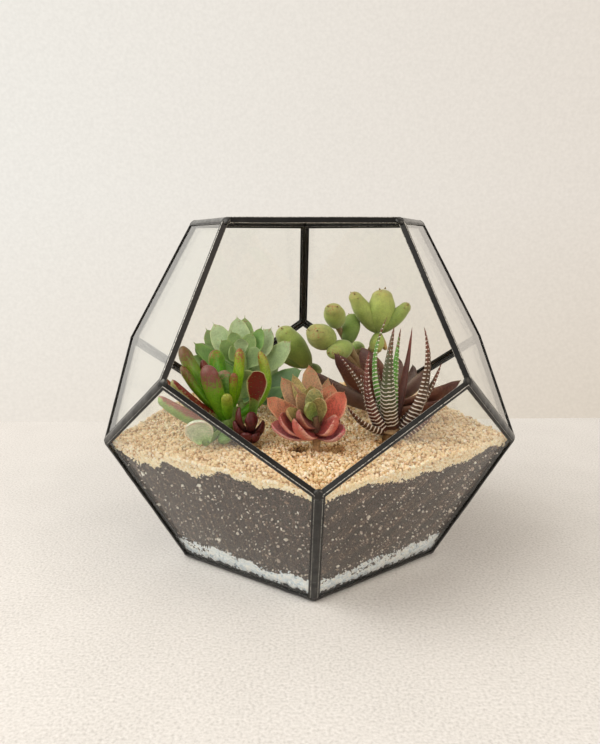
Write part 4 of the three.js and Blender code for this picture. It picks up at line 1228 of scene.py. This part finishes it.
DARK_ROSETTE = {
    "foot": (46, 1), "stem": 3, "heart": (46, 1, 75), "crown": (46, 0, 90), "core": 4,
    "facing": (46, 32, 112), "thickness": 3.8, "bow": 0.09, "form": BOAT_LEAF,
    "leaves": [
        (13, -8, 109, 14, 0.3, "umber"), (29, 6, 110, 14, 0.6, "umber"), (2, 3, 97, 14, 0, "slate"),
        (82, -8, 94, 14, 0.2, "umber"), (68, 9, 98, 13, 0.4, "slate"), (19, 23, 94, 14, 0, "slate"),
        (62, 27, 96, 14, 0.1, "slate"), (42, 27, 98, 13, 0.2, "slate"), (50, 8, 104, 10, 0.8, "slate"),
        (43, -3, 103, 10, 0.8, "slate"), (73, -12, 84, 12, 0, "umber"),
    ],
}

FINGER_FLATNESS = 0.72      # thickness as part of the width
SPOON_FLATNESS = 0.7
SPOON_BOW = 0.05
FRONT_LEAF_FLATNESS = 0.4

# Each row is a finger's tip, its width, how far up the core it grows, its bow, its colours, where the blush
# starts and how far it leans to the right side of the finger.
FINGERS = [
    (-51, -37, 108, 11, 0.2, 0.05, "finger", 0.82, 0),
    (-65, -24, 115.5, 11, 0.3, 0.05, "finger_olive", 0.98, -0.1),
    (-49, -14, 112, 10, 0.6, 0.05, "finger_vivid", 1.05, -0.1),
    (-55, -22, 108, 7, 0.5, 0.05, "finger_dark", 0.7, 0),
    (-36, -22, 114, 8, 0.6, 0.05, "finger_gold", 0.95, 0),
    (-26, -20, 112, 8.2, 0.4, 0.28, "finger_lime", 0.92, -0.22),
    (-41.5, -41, 94.5, 6, 0.3, 0.05, "finger_lime", 1.4, 0),
    (-43.5, -29, 104, 8.6, 0.7, 0.05, "finger_dull", 1.0, 0),
    (-38.5, -31, 103, 5, 0.7, 0.05, "finger_gold", 0.9, 0),
    (-64.5, -31, 106.5, 7, 0.4, 0.05, "finger_olive", 1.0, -0.15),
    (-43, -50, 73.5, 6.5, 0, 0.05, "finger_dull", 1.3, 0),
]
SPOONS = [
    (-68, -37, 101, 8.5, 0.3, "spoon_red"), (-73, -29, 100, 8, 0.2, "spoon_brown"),
    (-73, -46, 95, 10, 0.1, "spoon_rose"),
]
# These stand on necks of their own and turn their hollow faces to the front.
FRONT_LEAVES = [
    ((-29.5, -33, 81), (-26, -38, 105), (-28, -90, 102), 10, SPOON_LEAF, "spoon_red", 0.42),
    ((-51.5, -50, 72.5), (-55.5, -57, 84.5), (-60, -110, 84), 13.5, DISC_LEAF, "finger_pale", 0.95),
]
FINGER_HEART, FINGER_CROWN = (-42, -26, 74), (-42, -25, 84)
FINGER_FACING = (-42, -20, 134)


def finger_plant():
    """Stout round fingers, flat spoons lower down, and two leaves on necks at the front."""
    skin = leaf_mesh()
    bar(skin, (-42, -26, STEM_FOOT), FINGER_HEART, 4, 4, GREEN_STEM)
    bar(skin, FINGER_HEART, FINGER_CROWN, 5.5, 4.4, GREEN_STEM)
    for i, (*tip, width, place, bow, colours, blush_from, lean) in enumerate(FINGERS):
        root = lerp(FINGER_HEART, FINGER_CROWN, place)
        leaf_on_core(skin, root, tip, FINGER_FACING, width, FINGER_FLATNESS * width, bow, FINGER_LEAF,
                     colours, round_section=True, blunt=1.9, blush_from=blush_from, lean=lean,
                     rows=32, around=24, seed=i)
    for i, (*tip, width, place, colours) in enumerate(SPOONS):
        root = lerp(FINGER_HEART, FINGER_CROWN, place)
        leaf_on_core(skin, root, tip, FINGER_FACING, width, SPOON_FLATNESS * width, SPOON_BOW, SPOON_LEAF,
                     colours, blunt=1.8, blush_from=0.35, blush_on="top", rows=32, around=28, seed=20 + i)
    for neck, tip, facing, width, form, colours, blush_from in FRONT_LEAVES:
        bar(skin, FINGER_HEART, neck, 1.8, 1.8, GREEN_STEM)
        leaf(skin, neck, tip, facing, width, FRONT_LEAF_FLATNESS * width, 1, form, hue(colours),
             blunt=1.9, blush_from=blush_from, blush_on="face", rows=36, around=32, seed=31)
    return skin


# Each row is a leaf's tip, width, place on the core, bow, colours and how strong its bands are.
ZEBRA_LEAVES = [
    (14, -22, 111, 6, 0.3, -0.05, "zebra_brown", 1), (28, -39, 115, 7.5, 0.3, 0.13, "zebra_red", 1),
    (38.5, -26, 130.5, 6.8, 0.8, 0.13, "zebra_green", 1), (40, -38, 127, 9.5, 0.5, 0.13, "zebra_dark", 1),
    (45, -28, 125, 6, 0.8, 0.04, "zebra_green", 1), (52.5, -18, 124, 5.5, 0.5, 0.05, "zebra_red", 0),
    (55.5, -33, 126, 8.8, 0.1, 0.13, "zebra_brown", 1), (60, -23, 104, 7, 0.3, 0.13, "zebra_red", 1),
    (67.5, -22, 106, 6.5, 0.2, 0.06, "zebra_brown", 1), (17.5, -41, 88, 8, 0.3, 0.1, "zebra_brown", 1),
    (62.5, -46, 93.5, 8, 0.1, 0.1, "zebra_red", 1), (27, -14, 100, 8, 0.1, 0.07, "zebra_brown", 1),
    (36, -10, 104, 8, 0.3, 0.07, "zebra_dark", 1),
]
ZEBRA_HEART, ZEBRA_CROWN, ZEBRA_FACING = (40, -33, 72), (41, -32, 80), (47, -26, 127)
ZEBRA_CORE = 6.5
ZEBRA_THICKNESS = 4.6
BAND_ROW = 0.32         # rows of points close enough to carry the bands
ZEBRA_SPREAD = 5.5      # the lowest leaves start this far from the core's axis


def zebra_plant():
    """Narrow banded leaves in a dense tuft. The lower ones start further out from the core."""
    skin = leaf_mesh()
    bar(skin, (40, -33, STEM_FOOT), ZEBRA_HEART, 4, 4, BARK)
    bar(skin, ZEBRA_HEART, ZEBRA_CROWN, ZEBRA_CORE, 0.5 * ZEBRA_CORE, BARK)
    for i, (*tip, width, place, bow, colours, bands) in enumerate(ZEBRA_LEAVES):
        root = lerp(ZEBRA_HEART, ZEBRA_CROWN, place)
        outward = vec(*tip[:2], 0) - vec(*root[:2], 0)
        root = root + ZEBRA_SPREAD * (1 - place) * unit(outward)
        length = np.linalg.norm(vec(*tip) - root)
        leaf(skin, root, tip, ZEBRA_FACING, width, ZEBRA_THICKNESS * (1 - INNER_THINNING * place),
             bow * length, ZEBRA_LEAF, hue(colours), blunt=1.1, bands=bands, blush_from=0.9,
             rows=int(length / BAND_ROW), around=26, seed=i)
    return skin


PLUMP_RIGHT = {
    "foot": (35, 42), "stem": 2.2, "heart": (34, 41, 90),
    "branches": {
        "high": (43, 37, 113.5), "left": (24, 31, 107), "crest": (18, 34, 118), "far": (14, 27, 109),
        "back": (31, 44, 102),
    },
    "leaves": [
        ("high", (44.5, 36, 139), 18, "paw_sun"), ("high", (26.5, 34, 137.5), 12.5, "paw_sun"),
        ("high", (60, 33, 131), 10.5, "paw"), ("high", (50, 54, 128), 10, "paw"),
        ("high", (40.5, 32, 102), 9, "paw_sun"), ("high", (47.5, 35, 103), 4.5, "paw_dry"),
        ("crest", (14, 18, 131), 12.5, "paw_sun"), ("far", (3, 13, 118), 17, "paw_sun"),
        ("left", (14, 10, 105.5), 13, "paw"), ("left", (28, 41, 124), 11, "paw_shade"),
        ("back", (33, 62, 101), 10, "paw"),
    ],
}

PLUMP_LEFT = {
    "foot": (3, 41), "stem": 2, "heart": (2, 40, 86),
    "branches": {"tip": (2, 38, 93)},
    "leaves": [
        ("tip", (-15.5, 34, 117), 17.5, "paw"), ("tip", (-14, 33, 98), 6.5, "paw_shade"),
        ("tip", (-17, 54, 103), 11, "paw"), ("tip", (8, 52, 87), 8, "paw_shade"),
    ],
}


TOOTH_TURN = math.radians(34)
TOOTH_SINK = 1.3        # a tooth's foot lies this far inside the leaf's outline
TOOTH_BACK = 0.3        # and its point this far
TOOTH_BROWN = [vec(*linear("#7c5a30")), vec(*linear("#8f7a3c"))]


def plump_teeth(skin, root, tip, width, seed):
    """The small blunt teeth round the end of a plump leaf, five to a leaf."""
    root, tip = vec(*root), vec(*tip)
    along = unit(tip - root)
    up = vec(0, 0, 1) - along * along[2]
    across = unit(np.cross(along, up))
    length = np.linalg.norm(tip - root)
    for step in range(-2, 3):
        angle = step * TOOTH_TURN
        out = across * math.sin(angle) + along * math.cos(angle)
        centre = tip - along * 0.2 * length
        reach = 0.2 * length * abs(math.cos(angle)) + 0.34 * width * abs(math.sin(angle))
        foot = centre + out * (reach - TOOTH_SINK)
        point = centre + out * (reach - TOOTH_BACK)
        bar(skin, foot, point, 0.6, 0.2, TOOTH_BROWN, rows=5, around=8, seed=seed + step)


def plump_plant(plant):
    """A stem that forks into branches, each with its fat toothed leaves."""
    skin = leaf_mesh()
    x, y = plant["foot"]
    bar(skin, (x, y, STEM_FOOT), plant["heart"], plant["stem"], plant["stem"], BARK, rows=30)
    for place in plant["branches"].values():
        bar(skin, plant["heart"], place, plant["stem"], plant["stem"] * 0.8, BARK, rows=24, seed=4)
    for i, (branch, tip, width, colours) in enumerate(plant["leaves"]):
        root = vec(*plant["branches"][branch])
        bow = 0.02 * np.linalg.norm(vec(*tip) - root)
        leaf(skin, root, tip, root + vec(0, 0, 80), width, 0.85 * width, bow, PLUMP_LEAF, hue(colours),
             round_section=True, blunt=1.8, blush_from=1.12, rows=30, around=24, seed=i)
        plump_teeth(skin, root, tip, width, seed=7 * i)
    return skin


# =========================== stage, light and camera ===========================

FLOOR_BACK = 254        # the floor ends here, and a pale wall stands behind it
FLOOR_REACH = 2500
LAMP_AIM = 90           # the height that the lamps look at
WALL_GRAIN = 240        # grains of stucco to a radian, as seen from the case

CAMERA_PLACE = (-13.77, -364.99, 170.45)
CAMERA_AZIMUTH = -2.1613    # degrees, of the camera seen from the case's axis
CAMERA_TURN = 0.7463        # how far it looks to the left of the axis
CAMERA_PITCH = 11.3759      # how far it looks down
CAMERA_ROLL = -0.0123
CAMERA_LENS = 33.03
SENSOR = 36


def limewash_floor():
    """Pale limewashed plaster: cream, dead matt, with faint clouds, and fine grit drawn 1.3 mm wide."""
    finish, tree = new_finish("pale_limewash_floor")
    place = place_of(tree)
    cloud = noise(tree, place, 45, 6.0)
    grit = noise(tree, place, 1.3, 5.0)
    blend = node(tree, "ShaderNodeMath", {0: cloud.outputs["Fac"], 1: 0.18}, operation="MULTIPLY")
    tone = node(tree, "ShaderNodeMath", {0: grit.outputs["Fac"], 1: blend.outputs[0]}, operation="ADD")
    wash = ramp(tree, tone.outputs[0], [(0.32, "#c6c3c0"), (0.56, "#dedbd8"), (0.84, "#eeebe9")])
    relief = relief_of(tree, grit, 0.5, 0.5)
    plaster = node(tree, "ShaderNodeBsdfPrincipled", {
        "Base Color": wash.outputs["Color"], "Roughness": 0.9, "Normal": relief.outputs["Normal"]})
    node(tree, "ShaderNodeOutputMaterial", {"Surface": plaster.outputs[0]})
    return finish


def add_floor():
    mesh = bpy.data.meshes.new("floor")
    reach, back = FLOOR_REACH * MM, FLOOR_BACK * MM
    mesh.from_pydata([(-reach, -reach, 0), (reach, -reach, 0), (reach, back, 0), (-reach, back, 0)], [],
                     [(0, 1, 2, 3)])
    mesh.materials.append(limewash_floor())
    floor = bpy.data.objects.new("floor", mesh)
    bpy.context.collection.objects.link(floor)


def add_world():
    """A pale stucco wall all round, with painted shade: darker and warmer on the right and below, away from
    the window lamp. It shows brighter than it lights.
    """
    world = bpy.data.worlds.new("pale_wall")
    world.use_nodes = True
    tree = world.node_tree
    tree.nodes.clear()
    way = node(tree, "ShaderNodeTexCoord").outputs["Generated"]
    parts = node(tree, "ShaderNodeSeparateXYZ", {0: way})
    side = node(tree, "ShaderNodeMapRange", {
        "Value": parts.outputs["X"], "From Min": -0.5, "From Max": 0.5, "To Min": 0.0, "To Max": 1.0})
    # Painted shade: lighter on the left, by the window lamp, and darker and warmer to the right and towards
    # the floor.
    high = ramp(tree, side.outputs[0], [(0.0, "#f2efe8"), (1.0, "#e4dbd0")])
    low = ramp(tree, side.outputs[0], [(0.0, "#f0e9df"), (1.0, "#dacebe")])
    climb = node(tree, "ShaderNodeMapRange", {
        "Value": parts.outputs["Z"], "From Min": -0.27, "From Max": 0.05, "To Min": 0.0, "To Max": 1.0})
    wall_with_painted_shade = blend(tree, climb.outputs[0], low.outputs["Color"], high.outputs["Color"])
    stucco = node(tree, "ShaderNodeTexNoise", {"Vector": way, "Scale": WALL_GRAIN, "Detail": 4.0})
    relief = ramp(tree, stucco.outputs["Fac"], [(0.3, 0.93), (0.7, 1.0)])
    wall = blend(tree, 1.0, wall_with_painted_shade, relief.outputs["Color"], "MULTIPLY")
    path = node(tree, "ShaderNodeLightPath")
    seen = node(tree, "ShaderNodeMath", {
        0: path.outputs["Is Camera Ray"], 1: path.outputs["Is Glossy Ray"]}, operation="MAXIMUM")
    level = node(tree, "ShaderNodeMapRange", {"Value": seen.outputs[0], "To Min": 0.74, "To Max": 1.03})
    glow = node(tree, "ShaderNodeBackground", {
        "Color": wall, "Strength": level.outputs[0]})
    node(tree, "ShaderNodeOutputWorld", {"Surface": glow.outputs[0]})
    bpy.context.scene.world = world


def stand(right, over, back, place):
    """The matrix of a lamp or camera that looks away from its back."""
    return Matrix([(right[i], over[i], back[i], place[i]) for i in range(3)] + [(0, 0, 0, 1)])


def add_lamp(name, azimuth, elevation, distance, size, power, colour):
    """A square soft lamp that looks at the middle of the case. Azimuth 0 is the front, +90 the right."""
    lamp = bpy.data.lights.new(name, "AREA")
    lamp.shape = "SQUARE"
    lamp.size = size
    lamp.energy = power
    lamp.color = linear(colour)
    holder = bpy.data.objects.new(name, lamp)
    bpy.context.collection.objects.link(holder)
    a, e = math.radians(azimuth), math.radians(elevation)
    away = vec(math.sin(a) * math.cos(e), -math.cos(a) * math.cos(e), math.sin(e))
    across = unit(np.cross(vec(0, 0, 1), away))
    over = np.cross(away, across)
    centre = vec(0, 0, LAMP_AIM) * MM + away * distance
    holder.matrix_world = stand(across, over, away, centre)


def add_camera():
    """A camera in front, a little lower than the case's top, that looks slightly down."""
    a = math.radians(CAMERA_AZIMUTH)
    turn, pitch, roll = (math.radians(v) for v in (CAMERA_TURN, CAMERA_PITCH, CAMERA_ROLL))
    ahead = -vec(math.sin(a), -math.cos(a), 0)
    ahead = vec(math.cos(turn) * ahead[0] - math.sin(turn) * ahead[1],
                math.sin(turn) * ahead[0] + math.cos(turn) * ahead[1], 0)
    ahead = vec(ahead[0] * math.cos(pitch), ahead[1] * math.cos(pitch), -math.sin(pitch))
    right = unit(np.cross(ahead, vec(0, 0, 1)))
    over = np.cross(right, ahead)
    across = math.cos(roll) * right + math.sin(roll) * over
    upward = math.cos(roll) * over - math.sin(roll) * right
    place = vec(*CAMERA_PLACE) * MM
    camera = bpy.data.cameras.new("camera")
    camera.lens = CAMERA_LENS
    camera.sensor_width = SENSOR
    camera.clip_start = 0.01
    holder = bpy.data.objects.new("camera", camera)
    bpy.context.collection.objects.link(holder)
    holder.matrix_world = stand(across, upward, -ahead, place)
    bpy.context.scene.camera = holder


# =========================== the whole ===========================

GLASS = sheet_glass()
CHANNEL = patinated_channel()
for face in GLAZED_FACES:
    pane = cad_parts[f"pane_{face.name}"].data
    pane.materials.clear()
    pane.materials.append(GLASS)
    channel(face, CHANNEL)
solder_seams(patinated_solder())

drainage(drainage_stone())
soil(potting_soil(), soil_chips())
gravel(river_gravel())

rosette(GREEN_ROSETTE, GREEN_STEM, GREEN_STEM, spike=1.8, blush_from=1.1).piece(
    "green_rosette_leaves", leaf_skin("glaucous_echeveria_skin", rough=0.5, bloom=0.14), "pale_green_leaf",
    "green_rosette")
rosette(PINK_ROSETTE, TAN_STEM, SHADED_PINK_CORE, spike=1.0, blush_from=0.95, blush_on="edge", around=24).piece(
    "pink_rosette_leaves", leaf_skin("blushed_graptosedum_skin", rough=0.42, bloom=0.1,
                                     bloom_colour="#f0d0c4", freckles=0.45), "pink_leaf", "pink_rosette")
rosette(RED_OFFSET, BARK, BARK, blunt=1.8, blush_from=0.6).piece(
    "red_offset_leaves", leaf_skin("maroon_offset_skin", rough=0.4), "dark_red_leaf", "red_offset")
rosette(DARK_ROSETTE, BARK, BARK, spike=0.8, blush_from=0.8).piece(
    "dark_rosette_leaves", leaf_skin("dusky_echeveria_skin", rough=0.5, bloom=0.08, bloom_colour="#9a8c90"),
    "brown_leaf", "dark_rosette")
finger_plant().piece(
    "finger_plant_leaves", leaf_skin("glossy_crassula_skin", rough=0.4, coat=0.05, freckles=0.3),
    "finger_leaf", "finger_plant")
zebra_plant().piece(
    "zebra_plant_leaves", leaf_skin("zebra_haworthia_skin", rough=0.5, depth=0.06, bands=True), "zebra_leaf",
    "zebra_plant")
PAW_SKIN = leaf_skin("downy_cotyledon_skin", rough=0.62, bloom=0.08, bloom_colour="#d8dcae", down=0.35)
plump_plant(PLUMP_RIGHT).piece("plump_plant_right_leaves", PAW_SKIN, "plump_leaf", "plump_plant_right")
plump_plant(PLUMP_LEFT).piece("plump_plant_left_leaves", PAW_SKIN, "plump_leaf", "plump_plant_left")

add_floor()
add_world()
add_lamp("window", azimuth=-75, elevation=38, distance=1.6, size=1.7, power=25.5, colour="#fbf8f2")
add_lamp("fill", azimuth=50, elevation=30, distance=1.8, size=1.4, power=13, colour="#fff3e4")
add_camera()
bpy.context.scene.view_settings.view_transform = "Standard"
